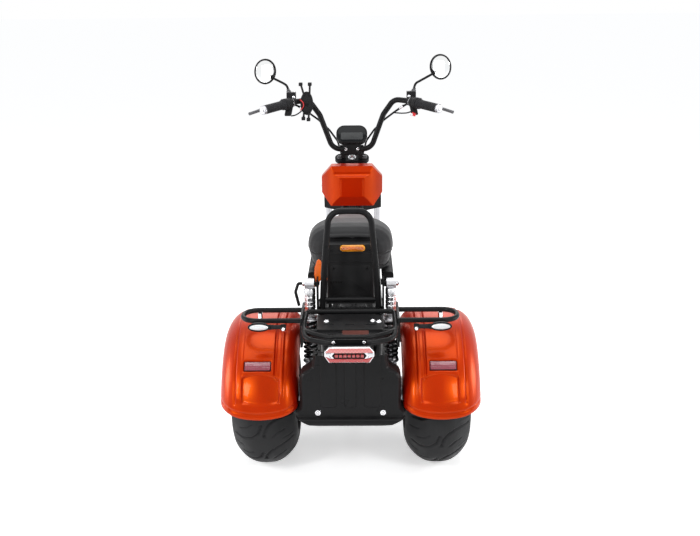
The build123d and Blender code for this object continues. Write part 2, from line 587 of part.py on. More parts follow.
# ---------------------------------------------------------------- handlebar and what it carries
BAR_R = 11
BAR_Y = HEAD_Y - 15
BAR_Z = 901
bar_half = [(78, BAR_Y, BAR_Z), (128, BAR_Y - 28, 1045), (170, BAR_Y - 50, 1107), (222, BAR_Y - 84, 1105),
            (332, 144, 1093)]
bar_route = sided(bar_half, -1)[::-1] + bar_half
bar_bends = [45, 45, 60, 45, 45, 60, 45, 45]
with BuildPart() as handlebar:
    tube(bar_route, BAR_R, bar_bends)
save("handlebar", handlebar.part)

# side tables below are for the right hand; the left is its mirror
GRIP_R = 17
GRIP_LEN = 118
bar_end = Vector(332, 144, 1093)
bar_out = (bar_end - Vector(222, BAR_Y - 84, 1105)).normalized()


def on_bar(side, back):
    """Point on the bar's straight end, a distance in from its tip."""
    point = bar_end - bar_out * back
    return (side * point.X, point.Y, point.Z)


with BuildPart() as grips:
    for side in (-1, 1):
        rod(on_bar(side, GRIP_LEN), on_bar(side, -5), GRIP_R)
        rod(on_bar(side, -5), on_bar(side, -13), GRIP_R - 3)
        rod(on_bar(side, GRIP_LEN + 1), on_bar(side, 0), BAR_R + 0.02, Mode.SUBTRACT)
save("grips", grips.part)

PERCH_BACK = GRIP_LEN + 64
lever_route = [(258, 300, 1096), (300, 264, 1093), (352, 205, 1085), (392, 172, 1075)]
stem_route = [(238, 306, 1125), (250, 300, 1171), (284, 292, 1186), (322, 294, 1207)]
with BuildPart() as bar_controls:
    for side in (-1, 1):
        rod(on_bar(side, GRIP_LEN + 42), on_bar(side, GRIP_LEN + 2), 21)
        rod(on_bar(side, PERCH_BACK), on_bar(side, GRIP_LEN + 41), 17)
        x, y, z = on_bar(side, PERCH_BACK - 10)
        block((x + side * 8, y + 4, z - 9), (x + side * 46, y + 44, z + 9))
        block((x - side * 14, y + 6, z + 10), (x + side * 22, y + 40, z + 36))
        tube(sided(lever_route, side), 6.3, [60, 60], Mode.SUBTRACT)
        tube(sided(stem_route, side), 5.02, [30, 30], Mode.SUBTRACT)
    tube(bar_route, BAR_R + 0.02, bar_bends, Mode.SUBTRACT)
save("bar_controls", bar_controls.part)

with BuildPart() as brake_levers:
    for side in (-1, 1):
        tube(sided(lever_route, side), 6, [60, 60])
save("brake_levers", brake_levers.part)

MIRROR_R = 50
MIRROR_TURN = radians(38)     # each glass faces in towards the rider
mirror_centre = (340, 268, 1235)


def in_mirror(side, depth):
    """Point on a mirror's own axis, a depth in from its rim towards its back."""
    x, y, z = mirror_centre
    return (side * (x + depth * sin(MIRROR_TURN)), y + depth * cos(MIRROR_TURN), z)


with BuildPart() as mirror_shells:
    for side in (-1, 1):
        rod(in_mirror(side, 0), in_mirror(side, 12), MIRROR_R)
        rod(in_mirror(side, 11), in_mirror(side, 20), MIRROR_R - 14)
        tube(sided(stem_route, side), 5, [30, 20])
        rod(in_mirror(side, -1), in_mirror(side, 6), MIRROR_R - 3, Mode.SUBTRACT)
save("mirror_shells", mirror_shells.part)

with BuildPart() as mirror_glasses:
    for side in (-1, 1):
        rod(in_mirror(side, 1.5), in_mirror(side, 5.9), MIRROR_R - 3.2)
save("mirror_glasses", mirror_glasses.part)

display_plane = Plane(origin=(0, 368, 965), x_dir=(1, 0, 0), z_dir=(0, -0.88, 0.475))
with BuildPart() as display:
    with BuildSketch(display_plane):
        SlotOverall(126, 76)
    extrude(amount=-26)
save("display", display.part)

with BuildPart() as bar_clamp:
    for side in (-1, 1):
        rod((side * 22, BAR_Y, BAR_Z), (side * 48, BAR_Y, BAR_Z), 17)
        block((side * 26, BAR_Y - 14, HEAD_Z + 6), (side * 44, BAR_Y + 14, BAR_Z))
    block((-26, BAR_Y + 8, BAR_Z - 6), (26, BAR_Y + 18, BAR_Z + 10))
    block((-20, BAR_Y + 10, BAR_Z), (20, BAR_Y + 16, 941))
    tube(bar_route, BAR_R + 0.02, bar_bends, Mode.SUBTRACT)
save("bar_clamp", bar_clamp.part)

PHONE_X = -176
PHONE_Y = 290
PHONE_Z = 1099
# each claw: foot across and up from the plate's middle, then its tip
claws = [(-10, 34, -22, 76), (12, 34, 14, 76), (-12, -36, -14, -58), (8, -36, 6, -62)]
with BuildPart() as phone_holder:
    with BuildSketch(Plane.XZ.offset(-PHONE_Y)):
        with Locations((PHONE_X, PHONE_Z)):
            Ellipse(25, 46)
    extrude(amount=-8)
    for foot_x, foot_z, tip_x, tip_z in claws:
        rod((PHONE_X + foot_x, PHONE_Y - 3, PHONE_Z + foot_z), (PHONE_X + tip_x, PHONE_Y - 4, PHONE_Z + tip_z), 4)
        block((PHONE_X + tip_x - 7, PHONE_Y - 18, PHONE_Z + tip_z - 6),
              (PHONE_X + tip_x + 7, PHONE_Y, PHONE_Z + tip_z + 6))
    tube(bar_route, BAR_R + 0.02, bar_bends, Mode.SUBTRACT)
save("phone_holder", phone_holder.part)

lamp_at = steer(0, 125, -165)
with BuildPart() as headlamp:
    rod((0, lamp_at[1] - 45, lamp_at[2]), (0, lamp_at[1] + 30, lamp_at[2]), 72)
    with BuildSketch(STEER.offset(CROWN_LOW + 10)):
        with Locations((0, 72)):
            Rectangle(50, 40)
    extrude(amount=45)
save("headlamp", headlamp.part)

with BuildPart() as headlamp_lens:
    rod((0, lamp_at[1] + 30.02, lamp_at[2]), (0, lamp_at[1] + 42, lamp_at[2]), 66)
save("headlamp_lens", headlamp_lens.part)

# ---------------------------------------------------------------- cables and wires
CABLE_R = 4
cable_route = [(208, 322, 1083), (176, 352, 1057), (134, 384, 1021), (92, 414, 975), (60, 446, 925),
               (46, 474, 870), (38, 508, 797), (34, lamp_at[1] - 47, 781)]
with BuildPart() as control_cables:
    for side in (-1, 1):
        tube(sided(cable_route, side), CABLE_R, [60, 60, 60, 60, 60, 40])
save("control_cables", control_cables.part)

WIRE_R = 2
wire_route = [(-73.5, LAMP_Y + 16, 527), (-98, LAMP_Y + 20, 529), (-124, -892, 521),
              (-101.4, BACK_Y + 138.8, 521)]
with BuildPart() as lamp_wire:
    tube(wire_route, WIRE_R, [14, 16])
save("lamp_wire", lamp_wire.part)
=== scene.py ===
import bpy
import bmesh
import math
import numpy as np
from contextlib import contextmanager
from functools import partial
from mathutils import Matrix, Quaternion, Vector


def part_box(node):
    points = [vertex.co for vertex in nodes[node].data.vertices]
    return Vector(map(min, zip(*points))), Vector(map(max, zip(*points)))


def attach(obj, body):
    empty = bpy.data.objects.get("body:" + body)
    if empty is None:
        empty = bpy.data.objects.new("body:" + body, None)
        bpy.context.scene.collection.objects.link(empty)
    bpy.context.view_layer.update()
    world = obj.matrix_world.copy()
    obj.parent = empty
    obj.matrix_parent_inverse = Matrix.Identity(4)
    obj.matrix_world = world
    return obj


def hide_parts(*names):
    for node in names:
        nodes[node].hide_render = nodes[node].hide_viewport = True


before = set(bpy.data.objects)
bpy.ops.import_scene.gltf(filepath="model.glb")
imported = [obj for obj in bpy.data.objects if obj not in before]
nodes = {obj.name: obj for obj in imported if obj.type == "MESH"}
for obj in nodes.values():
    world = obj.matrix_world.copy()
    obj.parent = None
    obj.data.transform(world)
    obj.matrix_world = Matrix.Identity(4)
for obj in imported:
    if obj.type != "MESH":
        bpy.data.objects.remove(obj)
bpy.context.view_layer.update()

# ---------------------------------------------------------------- studio
# A camera behind the trike and a little above it, on a plain white floor that brightens with the
# distance. Soft panels light it from behind, both sides, overhead and the front, and the surroundings
# are white to the eye and in every reflection.
CAMERA_AT = Vector((0.040, -3.660, 1.575))
LOOK_DOWN = math.radians(16.3)
LOOK_LEFT = math.radians(0.75)
TILT = math.radians(0.6)


def placed(name, data):
    """An object of the scene that shows some data."""
    thing = bpy.data.objects.new(name, data)
    bpy.context.scene.collection.objects.link(thing)
    return thing


camera = placed("camera", bpy.data.cameras.new("camera"))
bpy.context.scene.camera = camera
camera.data.lens = 51.07
camera.data.sensor_width = 36
camera.location = CAMERA_AT
sight = Vector((-math.sin(LOOK_LEFT) * math.cos(LOOK_DOWN), math.cos(LOOK_LEFT) * math.cos(LOOK_DOWN),
                -math.sin(LOOK_DOWN)))
camera.rotation_mode = "QUATERNION"
camera.rotation_quaternion = sight.to_track_quat("-Z", "Y") @ Quaternion((0, 0, 1), -TILT)
bpy.context.scene.view_settings.view_transform = "Standard"


def plug(tree, node, sockets):
    """Set a shader node's sockets by name, or link them; a node stands for its first output."""
    for socket, source in sockets.items():
        if isinstance(source, bpy.types.Node):
            source = source.outputs[0]
        if isinstance(source, bpy.types.NodeSocket):
            tree.links.new(source, node.inputs[socket])
        else:
            node.inputs[socket].default_value = source


def joined(tree, kind, sockets=None, **values):
    """A shader node with its values and its sockets set or linked."""
    node = tree.nodes.new("ShaderNode" + kind)
    for key, value in values.items():
        setattr(node, key, value)
    plug(tree, node, sockets or {})
    return node


def to_the_eye(tree):
    """1 for what is seen directly, in gloss or through glass, and 0 for the light on the trike."""
    rays = joined(tree, "LightPath").outputs
    seen = joined(tree, "Math", {0: rays["Is Camera Ray"], 1: rays["Is Glossy Ray"]}, operation="ADD")
    return joined(tree, "Math", {0: seen, 1: rays["Is Transmission Ray"]}, operation="ADD", use_clamp=True)


world = bpy.data.worlds.new("studio")
world.use_nodes = True
bpy.context.scene.world = world
tree = world.node_tree
tree.nodes.clear()
fill = joined(tree, "Background", {"Color": (0.95, 0.97, 1, 1), "Strength": 0.30})
white = joined(tree, "Background", {"Color": (1, 1, 1, 1), "Strength": 1.0})
mixed = joined(tree, "MixShader", {0: to_the_eye(tree), 1: fill, 2: white})
joined(tree, "OutputWorld", {"Surface": mixed})

# each panel: where it hangs, what it faces, its width and height, and its watts
for name, place, target, width, height, power in [
        ("panel_left", (-1.75, -2.65, 1.85), (0, -0.6, 0.4), 0.5, 0.7, 32),
        ("panel_right", (1.75, -2.65, 1.75), (0, -0.6, 0.4), 0.5, 0.7, 25),
        ("strip_left", (-2.5, -0.55, 0.95), (0, -0.3, 0.45), 0.9, 0.8, 20),
        ("strip_right", (2.5, -0.55, 0.95), (0, -0.3, 0.45), 0.9, 0.8, 20),
        ("panel_top", (0, -0.6, 3.4), (0, -0.3, 0.4), 2.6, 2.2, 60),
        ("panel_front", (0, 3.0, 2.4), (0, 0.3, 0.6), 2.6, 1.6, 25)]:
    lamp = bpy.data.lights.new(name, "AREA")
    lamp.shape = "RECTANGLE"
    lamp.size = width
    lamp.size_y = height
    lamp.energy = power
    panel = placed(name, lamp)
    panel.location = place
    panel.rotation_euler = (Vector(target) - Vector(place)).to_track_quat("-Z", "Y").to_euler()

floor_mesh = bpy.data.meshes.new("floor")
floor_mesh.from_pydata([(-40, -40, 0), (40, -40, 0), (40, 40, 0), (-40, 40, 0)], [], [(0, 1, 2, 3)])
placed("floor", floor_mesh)
paper = bpy.data.materials.new("studio_floor")
paper.use_nodes = True
tree = paper.node_tree
tree.nodes.clear()
fibres = joined(tree, "TexNoise", {"Scale": 3.0, "Detail": 4.0})
shade = joined(tree, "MapRange", {0: fibres, 3: 0.985, 4: 1.0})
matte = joined(tree, "BsdfDiffuse", {"Color": shade})
spot = joined(tree, "TexCoord").outputs["Object"]
away = joined(tree, "VectorMath", {0: spot}, operation="LENGTH")
pool = joined(tree, "MapRange", {0: away.outputs["Value"], 1: 0.6, 2: 3.0, 3: 0.50, 4: 0.70})
lift = joined(tree, "Math", {0: to_the_eye(tree), 1: pool}, operation="MULTIPLY")
glow = joined(tree, "Emission", {"Color": (1, 1, 1, 1), "Strength": lift})
lit = joined(tree, "AddShader", {0: matte, 1: glow})
joined(tree, "OutputMaterial", {"Surface": lit})
floor_mesh.materials.append(paper)

# ---------------------------------------------------------------- frame, rack, hoop and running gear
# Welded steel tube and plate under satin black powder coat, with fine orange peel in the coat and
# softened edges. The axle, calipers and shocks are aluminium castings and bars, the discs rolled steel.


def toned(tree, value, low, dark, high, light):
    """A colour that runs from dark to light as a value runs from low to high."""
    ramp = joined(tree, "ValToRGB", {0: value})
    for stop, place, colour in zip(ramp.color_ramp.elements, (low, high), (dark, light)):
        stop.position = place
        stop.color = (*colour, 1)
    return ramp


def finish(name, colour, rough, metal=0.0, grain=0.15, grain_size=900.0, mottle=0.2, edge=0.0012,
           coat=0.0, patches=30.0):
    """A surface with uneven gloss and tone, a fine grain and softened edges."""
    surface = bpy.data.materials.new(name)
    surface.use_nodes = True
    tree = surface.node_tree
    place = joined(tree, "TexCoord").outputs["Object"]
    cloud = joined(tree, "TexNoise", {"Vector": place, "Scale": patches, "Detail": 5.0})
    tone = toned(tree, cloud, 0.3, [c * (1 - 0.5 * mottle) for c in colour],
                 0.7, [min(1, c * (1 + 0.5 * mottle)) for c in colour])
    gloss = joined(tree, "MapRange", {0: cloud, 1: 0.3, 2: 0.7, 3: rough * (1 - mottle),
                                      4: min(1.0, rough * (1 + mottle))})
    speck = joined(tree, "TexNoise", {"Vector": place, "Scale": grain_size, "Detail": 3.0})
    bump = joined(tree, "Bump", {"Height": speck, "Strength": grain, "Distance": 0.0004})
    if edge:
        soft = joined(tree, "Bevel", {"Radius": edge}, samples=4)
        plug(tree, bump, {"Normal": soft})
    plug(tree, tree.nodes["Principled BSDF"], {
        "Base Color": tone, "Roughness": gloss, "Normal": bump, "Metallic": metal,
        "Specular IOR Level": 0.11 if max(colour) < 0.06 else 0.5, "Coat Weight": coat,
        "Coat Roughness": 0.08})
    return surface


def dress(surface, *names):
    """Give CAD pieces a finish."""
    for name in names:
        mesh = nodes[name].data
        mesh.materials.clear()
        mesh.materials.append(surface)


powder_coat = finish("powder_coat", (0.008, 0.008, 0.0085), 0.34, grain=0.25, grain_size=1400)
dress(powder_coat, "frame", "rack", "hoop", "side_loops", "swingarm", "axle_housing", "handlebar",
      "top_plate", "steering_stem", "bar_clamp", "fork_sliders")
cast_alloy = finish("cast_alloy", (0.62, 0.62, 0.64), 0.32, metal=1.0, grain=0.3, grain_size=1800)
dress(cast_alloy, "shock_bodies", "rear_calipers", "front_caliper")
rim_alloy = finish("rim_alloy", (0.40, 0.40, 0.42), 0.30, metal=1.0, grain=0.25, grain_size=1600)
dress(rim_alloy, "rim_front", "rim_rear_left", "rim_rear_right")
chrome = finish("chrome_plate", (0.86, 0.87, 0.9), 0.07, metal=1.0, grain=0.02, mottle=0.25)
hard_chrome = finish("hard_chrome", (0.46, 0.46, 0.48), 0.14, metal=1.0, grain=0.03, mottle=0.3)
dress(hard_chrome, "fork_stanchions")
moulded = finish("moulded_plastic", (0.010, 0.010, 0.0105), 0.48, grain=0.5, grain_size=1100)
dress(moulded, "floorboard", "side_covers", "seat_pan", "parking_lever")
lever_orange = finish("orange_plastic", (0.9, 0.16, 0.012), 0.3, grain=0.1, mottle=0.12)
dress(lever_orange, "release_lever")

# ---------------------------------------------------------------- rear fenders
# Each fender is one steel pressing over a wheel, with a raised tongue, side ridges and a folded lip,
# under candy orange: clear orange lacquer over bright metallic. The inside has black undercoat.
SIDES = [("left", -1), ("right", 1)]
AXLE_Y, FENDER_Z, FENDER_R, TRACK_X = -0.560, 0.200, 0.326, 0.283
LIP_Z, LIP_R = 0.275, 0.310
FRONT_END = math.radians(157.5)  # the pressing's front edge, turned up and over from straight behind
SPREAD = 1.035

candy = bpy.data.materials.new("candy_orange")
candy.use_nodes = True
tree = candy.node_tree
place = joined(tree, "TexCoord").outputs["Object"]
cloud = joined(tree, "TexNoise", {"Vector": place, "Scale": 7.0, "Detail": 3.0})
tone = toned(tree, cloud, 0.35, (0.36, 0.0065, 0.0005), 0.65, (0.44, 0.0095, 0.0006))
flake = joined(tree, "TexVoronoi", {"Vector": place, "Scale": 1500.0})
glint = joined(tree, "MapRange", {0: flake.outputs["Color"], 3: 0.26, 4: 0.40})
peel = joined(tree, "TexNoise", {"Vector": place, "Scale": 220.0, "Detail": 2.0})
soft = joined(tree, "Bevel", {"Radius": 0.0015}, samples=4)
ripple = joined(tree, "Bump", {"Height": peel, "Strength": 0.03, "Distance": 0.0004, "Normal": soft})
plug(tree, tree.nodes["Principled BSDF"], {
    "Base Color": tone, "Roughness": glint, "Normal": ripple, "Metallic": 0.22,
    "Specular Tint": (1, 0.36, 0.015, 1), "Specular IOR Level": 1.0, "Coat Weight": 0.06,
    "Coat Roughness": 0.03, "Coat IOR": 1.5})
undercoat = finish("undercoat", (0.012, 0.012, 0.013), 0.8, grain=0.8, grain_size=500, edge=0)


def rise(x, low, high):
    """0 below low, 1 above high, smooth between."""
    t = np.clip((x - low) / (high - low), 0, 1)
    return t * t * (3 - 2 * t)


def strip(x, low, high, soft):
    """1 between two places, fading over a soft width at each."""
    return rise(x, low - soft, low + soft) * (1 - rise(x, high - soft, high + soft))


def grid_mesh(name, points, surface, wrap=False):
    """A sheet from a rows x columns x 3 array, joined into a ring along its rows if asked."""
    rows, columns = points.shape[:2]
    index = np.arange(rows * columns).reshape(rows, columns)
    if wrap:
        index = np.vstack([index, index[:1]])
    quads = np.stack([index[:-1, :-1], index[:-1, 1:], index[1:, 1:], index[1:, :-1]], -1).reshape(-1, 4)
    mesh = bpy.data.meshes.new(name)
    mesh.from_pydata(points.reshape(-1, 3).tolist(), [], quads.tolist())
    mesh.polygons.foreach_set("use_smooth", [True] * len(quads))
    mesh.materials.append(surface)
    mesh.update()
    return placed(name, mesh)


def worked(piece):
    """Turn a piece's modifiers into plain mesh."""
    graph = bpy.context.evaluated_depsgraph_get()
    mesh = bpy.data.meshes.new_from_object(piece.evaluated_get(graph))
    piece.modifiers.clear()
    piece.data = mesh


def modified(piece, kind, **values):
    """Add a modifier with its values."""
    modifier = piece.modifiers.new(kind.lower(), kind)
    for key, value in values.items():
        setattr(modifier, key, value)


def thickened(piece, lining=0):
    """Give a skin the thickness of its sheet, with its inside in a material further down its list."""
    modified(piece, "SOLIDIFY", thickness=0.003, offset=-1, material_offset=lining)
    worked(piece)


def fitted(piece, body, slot, *stands_for):
    """Mount a piece on a body, and hide the solid that it stands for; the material slot is not used."""
    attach(piece, body)
    if stands_for:
        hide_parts(*stands_for)


def spaced(curve, count):
    """Both coordinates of a bent line at even steps along it."""
    run = np.concatenate([[0], np.cumsum(np.hypot(*np.diff(curve, axis=0).T))])
    return [np.interp(np.linspace(0, run[-1], count), run, column) for column in curve.T]


def smoothed(row, times):
    """A row of values, each eased toward its neighbours some times over."""
    for _ in range(times):
        row[1:-1] = (row[:-2] + 2 * row[1:-1] + row[2:]) / 4
    return row


# the pressing's profile: across from the tyre's middle (+ is outward), out from the fender's centre
profile = np.array([(-117, 262), (-115.5, 280), (-112, 293), (-104, 305), (-94, 313.5), (-84, 318.5),
                    (-72, 321.5), (-56, 323), (0, 324), (50, 322.5), (66, 320), (79, 316), (91, 308.5),
                    (103, 297), (112, 283), (117, 271), (119, 262)]) / 1000
profile[:, 0] *= SPREAD
across, radius = [smoothed(row, 6) for row in spaced(profile, 141)]
lip_z = LIP_Z + LIP_R - np.sqrt(LIP_R ** 2 - across ** 2)
lip_angle = np.arcsin((lip_z - FENDER_Z) / radius)
share = np.concatenate([np.linspace(0, 0.30, 90), np.linspace(0.30, 1, 110)[1:]])
around = lip_angle[None, :] + share[:, None] * (FRONT_END - lip_angle[None, :])
wide = across[None, :] * 1000 + 0 * around
degrees = np.degrees(around)
from_lip = (around - lip_angle[None, :]) * radius[None, :] * 1000

# what the press raised or sank, in mm: the tongue, the ridges beside it, the crowned panel below it, the
# folded lip and the reflector's recess; the crown then falls away over the top
tongue_edge = 38.6 - 1.7 * (wide / 50) ** 2
swell = 3.0 * strip(wide, -47, 51, 2.5) * rise(degrees, tongue_edge - 0.35, tongue_edge + 0.35)
swell += 2.6 * strip(wide, 52, 70, 2.5) * rise(from_lip, 44, 60)
swell -= 4.2 * strip(wide, 70.5, 75.5, 1.8) * rise(from_lip, 34, 48)
swell -= 3.6 * strip(wide, -54, -48.5, 1.6) * rise(degrees, tongue_edge - 2, tongue_edge)
swell += 3.6 * strip(wide, -75, -67, 2.6) * rise(from_lip, 48, 70)
crowned = 2.0 + 7.0 * ((wide + 6) / 56) ** 2
below_tongue = 1 - rise(degrees, tongue_edge - 0.6, tongue_edge + 0.3)
swell -= crowned * strip(wide, -63, 50, 2.2) * rise(from_lip, 43, 55) * below_tongue
swell += 1.8 * rise(from_lip, 19.5, 24)
swell -= 3.2 * strip(from_lip, 15.5, 19.5, 1.5)
swell -= 2.2 * (1 - rise(from_lip, 0.5, 7))
swell -= 6.5 * strip(wide, -38, 48, 1.6) * strip(degrees, 40.2, 46.2, 0.25)
crown_drop = 11 * rise(degrees, 62, 98)
reach = radius[None, :] + (swell - 1.2 - crown_drop) / 1000
for body, side in SIDES:
    skin = np.stack([side * (TRACK_X + across[None, :]) + 0 * around, AXLE_Y - reach * np.cos(around),
                     FENDER_Z + reach * np.sin(around)], -1)
    if side < 0:
        skin = skin[:, ::-1]
    fender = grid_mesh("fender_skin_" + body, skin, candy)
    fender.data.materials.append(undercoat)
    thickened(fender, lining=1)
    fitted(fender, "chassis", "orange_paint", "fender_" + body)


# ---------------------------------------------------------------- tyres
# Tubeless road rubber on wide rims: round crown, long hooked rain grooves from the middle to the
# shoulders, shallow sipes between them, and plain sidewalls with a rim guard.
TYRE_R = 225  # mm
AXLE_Z = 0.225
PITCHES = 12
FRONT_Y = (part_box("rim_front")[0].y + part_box("rim_front")[1].y) / 2

rubber = finish("tyre_rubber", (0.024, 0.024, 0.025), 0.60, grain=0.5, grain_size=700, mottle=0.3, edge=0,
                patches=14)

# grooves of one pitch: across (1 is the tyre's half width), along the tread in pitches; width and depth, mm
grooves = [
    ([(-0.02, 0.10), (-0.10, 0.33), (-0.30, 0.50), (-0.55, 0.58), (-0.80, 0.60)], 6.5, 7.0),
    ([(0.06, 0.45), (0.10, 0.22), (0.24, 0.02), (0.46, -0.10), (0.70, -0.14), (0.86, -0.12)], 6.5, 7.0),
    ([(-0.30, 0.08), (-0.46, 0.20), (-0.66, 0.26)], 4.0, 4.5),
    ([(0.30, 0.48), (0.46, 0.36), (0.66, 0.32)], 4.0, 4.5),
    ([(-0.62, -0.08), (-0.86, -0.02)], 3.5, 3.5),
    ([(0.60, 0.62), (0.86, 0.66)], 3.5, 3.5),
]


def carved(across_mm, along_mm, half_mm, pitch_mm):
    """Depth in mm of the grooves at places on an unrolled tread."""
    deep = np.zeros_like(across_mm)
    for line, width, depth in grooves:
        for shift in (-1, 0, 1):
            near = np.full_like(across_mm, 1e3)
            for (a, b), (c, d) in zip(line[:-1], line[1:]):
                px, py = a * half_mm, (b + shift) * pitch_mm
                qx, qy = (c - a) * half_mm, (d - b) * pitch_mm
                t = np.clip(((across_mm - px) * qx + (along_mm - py) * qy) / (qx * qx + qy * qy), 0, 1)
                near = np.minimum(near, np.hypot(across_mm - px - t * qx, along_mm - py - t * qy))
            deep = np.maximum(deep, depth * (1 - rise(near, width / 2 - 1.0, width / 2 + 0.8)))
    return deep


def full_turn(count):
    """Some even angles all the way round."""
    return np.linspace(0, 2 * math.pi, count, endpoint=False)


def tyre_piece(name, body, centre_x, axle_y, half, turn):
    """A tyre as one carved skin from bead to bead."""
    section = np.array([(0, TYRE_R), (0.16, 224.3), (0.3, 222), (0.42, 217.4), (0.53, 210.6), (0.63, 202.6),
                        (0.71, 194.4), (0.80, 183.8), (0.88, 171.8), (0.93, 161.5), (0.96, 152), (0.988, 141),
                        (1, 129), (0.975, 122), (0.90, 117.5), (0.80, 115.6), (0.762, 113), (0.755, 105)])
    section[:, 0] *= half
    curve = np.vstack([section[::-1], section[1:] * [-1, 1]])
    wide, out = spaced(curve, 95)
    slope = np.gradient(np.stack([wide, out], 1), axis=0)
    slope /= np.linalg.norm(slope, axis=1)[:, None]
    turns = full_turn(420)
    pitch = 2 * math.pi * TYRE_R / PITCHES
    along = np.mod(turns * TYRE_R, pitch)
    side, length = np.meshgrid(wide, along)
    deep = carved(side, length, half, pitch)
    deep *= rise(out, 150, 162)[None, :]
    guard = 1.6 * strip(out, 121.5, 125.5, 1.2)
    groove = guard[None, :] - deep
    wide = wide[None, :] + groove * slope[None, :, 1]
    out = out[None, :] - groove * slope[None, :, 0]
    out = np.where(groove < 0, np.minimum(out, TYRE_R), out)
    angle = (turns + turn)[:, None]
    points = np.stack([centre_x + wide / 1000, axle_y + out / 1000 * np.cos(angle),
                       AXLE_Z + out / 1000 * np.sin(angle)], -1)
    tyre = grid_mesh(name, points, rubber, wrap=True)
    fitted(tyre, body, "tyre", body.replace("wheel", "tyre"))


tyre_piece("tread_rear_left", "wheel_rear_left", -TRACK_X, AXLE_Y, 107.5, 0.0)
tyre_piece("tread_rear_right", "wheel_rear_right", TRACK_X, AXLE_Y, 107.5, 0.2)
tyre_piece("tread_front", "wheel_front", 0, FRONT_Y, 75, 0.1)

# ---------------------------------------------------------------- saddle
# A moulded foam saddle in grained black vinyl: a domed top panel, a shorter skirt sewn to it all
# round, and a crease where the top meets the back. It bolts to a pan hinged at the nose.
vinyl = finish("saddle_vinyl", (0.017, 0.017, 0.018), 0.50, grain=0.0, mottle=0.15, edge=0, patches=9)
tree = vinyl.node_tree
place = joined(tree, "TexCoord").outputs["Object"]
pores = joined(tree, "TexVoronoi", {"Vector": place, "Scale": 520.0}, feature="DISTANCE_TO_EDGE")
folds = joined(tree, "TexNoise", {"Vector": place, "Scale": 24.0, "Detail": 4.0})
slack = joined(tree, "Bump", {"Height": folds, "Strength": 0.25, "Distance": 0.003})
skin = joined(tree, "Bump", {"Height": pores, "Strength": 0.35, "Distance": 0.0006, "Normal": slack})
plug(tree, tree.nodes["Principled BSDF"], {"Normal": skin, "Sheen Weight": 0.15, "Sheen Roughness": 0.4})

SEAM_Z, PAN_Z = 0.687, 0.638
stations = np.array([-0.477, -0.472, -0.462, -0.445, -0.42, -0.385, -0.34, -0.29, -0.24, -0.19, -0.14, -0.09,
                     -0.04, 0.01, 0.045, 0.056, 0.061])
half_wide = np.interp(
    stations,
    [-0.477, -0.472, -0.462, -0.445, -0.42, -0.39, -0.285, -0.20, -0.11, -0.02, 0.045, 0.056, 0.061],
    [0.082, 0.098, 0.113, 0.128, 0.142, 0.149, 0.149, 0.118, 0.078, 0.063, 0.055, 0.046, 0.030])
top_z = np.interp(stations, [-0.477, -0.462, -0.425, -0.385, -0.300, -0.100, 0.030, 0.061],
                  [0.728, 0.750, 0.766, 0.772, 0.768, 0.735, 0.718, 0.700])


@contextmanager
def editing(mesh):
    """Open a mesh for work on its faces, and write it back."""
    bm = bmesh.new()
    bm.from_mesh(mesh)
    yield bm
    bm.to_mesh(mesh)
    bm.free()


rings = []
for y, w, top in zip(stations, half_wide, top_z):
    turn = np.linspace(0, math.pi, 33)
    dome_x = w * np.sign(np.cos(turn)) * np.abs(np.cos(turn)) ** 0.62
    dome_z = SEAM_Z + (top - SEAM_Z) * np.sin(turn) ** 0.66
    skirt_z = np.array([0.676, 0.658, 0.641])
    skirt_x = np.array([w - 0.007, w - 0.009, w - 0.014])
    floor_x = np.linspace(-(w - 0.02), w - 0.02, 9)
    rings.append(np.concatenate([np.stack([dome_x, dome_x * 0 + y, dome_z], -1),
                                 np.stack([-skirt_x, skirt_x * 0 + y, skirt_z], -1),
                                 np.stack([floor_x, floor_x * 0 + y, floor_x * 0 + PAN_Z], -1),
                                 np.stack([skirt_x[::-1], skirt_x * 0 + y, skirt_z[::-1]], -1)]))
rings = np.array(rings)
around = rings.shape[1]
index = np.arange(rings.shape[0] * around).reshape(rings.shape[0], around)
index = np.hstack([index, index[:, :1]])
quads = np.stack([index[:-1, :-1], index[1:, :-1], index[1:, 1:], index[:-1, 1:]], -1).reshape(-1, 4).tolist()
caps = [index[0, :-1].tolist(), index[-1, :-1][::-1].tolist()]
foam = bpy.data.meshes.new("saddle")
foam.from_pydata(rings.reshape(-1, 3).tolist(), [], quads + caps)
saddle = placed("saddle", foam)
with editing(foam) as bm:
    bmesh.ops.recalc_face_normals(bm, faces=bm.faces)

# the back is cut away round the top of the battery box
notch_mesh = bpy.data.meshes.new("notch")
with editing(notch_mesh) as bm:
    bmesh.ops.create_cube(bm, size=1)
    bmesh.ops.transform(bm, verts=bm.verts, matrix=Matrix.Translation((0, -0.520, 0.670)) @
                        Matrix.Diagonal((0.184, 0.160, 0.140, 1)))
notch = placed("notch", notch_mesh)
modified(saddle, "BOOLEAN", object=notch, operation="DIFFERENCE")
modified(saddle, "REMESH", mode="VOXEL", voxel_size=0.005)
worked(saddle)
bpy.data.objects.remove(notch)
modified(saddle, "SMOOTH", factor=0.5, iterations=5)
worked(saddle)
STUFFING = 0.006  # the most that the foam swells the cover
before = np.array([v.co for v in saddle.data.vertices])
cloth = saddle.modifiers.new("cloth", "CLOTH")
cloth.settings.use_pressure = True
cloth.settings.uniform_pressure_force = 4
cloth.settings.effector_weights.gravity = 0
cloth.settings.tension_stiffness = 25
cloth.settings.bending_stiffness = 5
for step in range(1, 21):
    bpy.context.scene.frame_set(step)
worked(saddle)
after = np.array([v.co for v in saddle.data.vertices])
move = after - before
size = np.linalg.norm(move, axis=1)[:, None]
after = before + move * np.minimum(1, STUFFING / np.maximum(size, 1e-9))
after[:, 2] = np.maximum(after[:, 2], PAN_Z)
saddle.data.vertices.foreach_set("co", after.ravel())
bpy.context.scene.frame_set(1)
modified(saddle, "SUBSURF", levels=1)
worked(saddle)

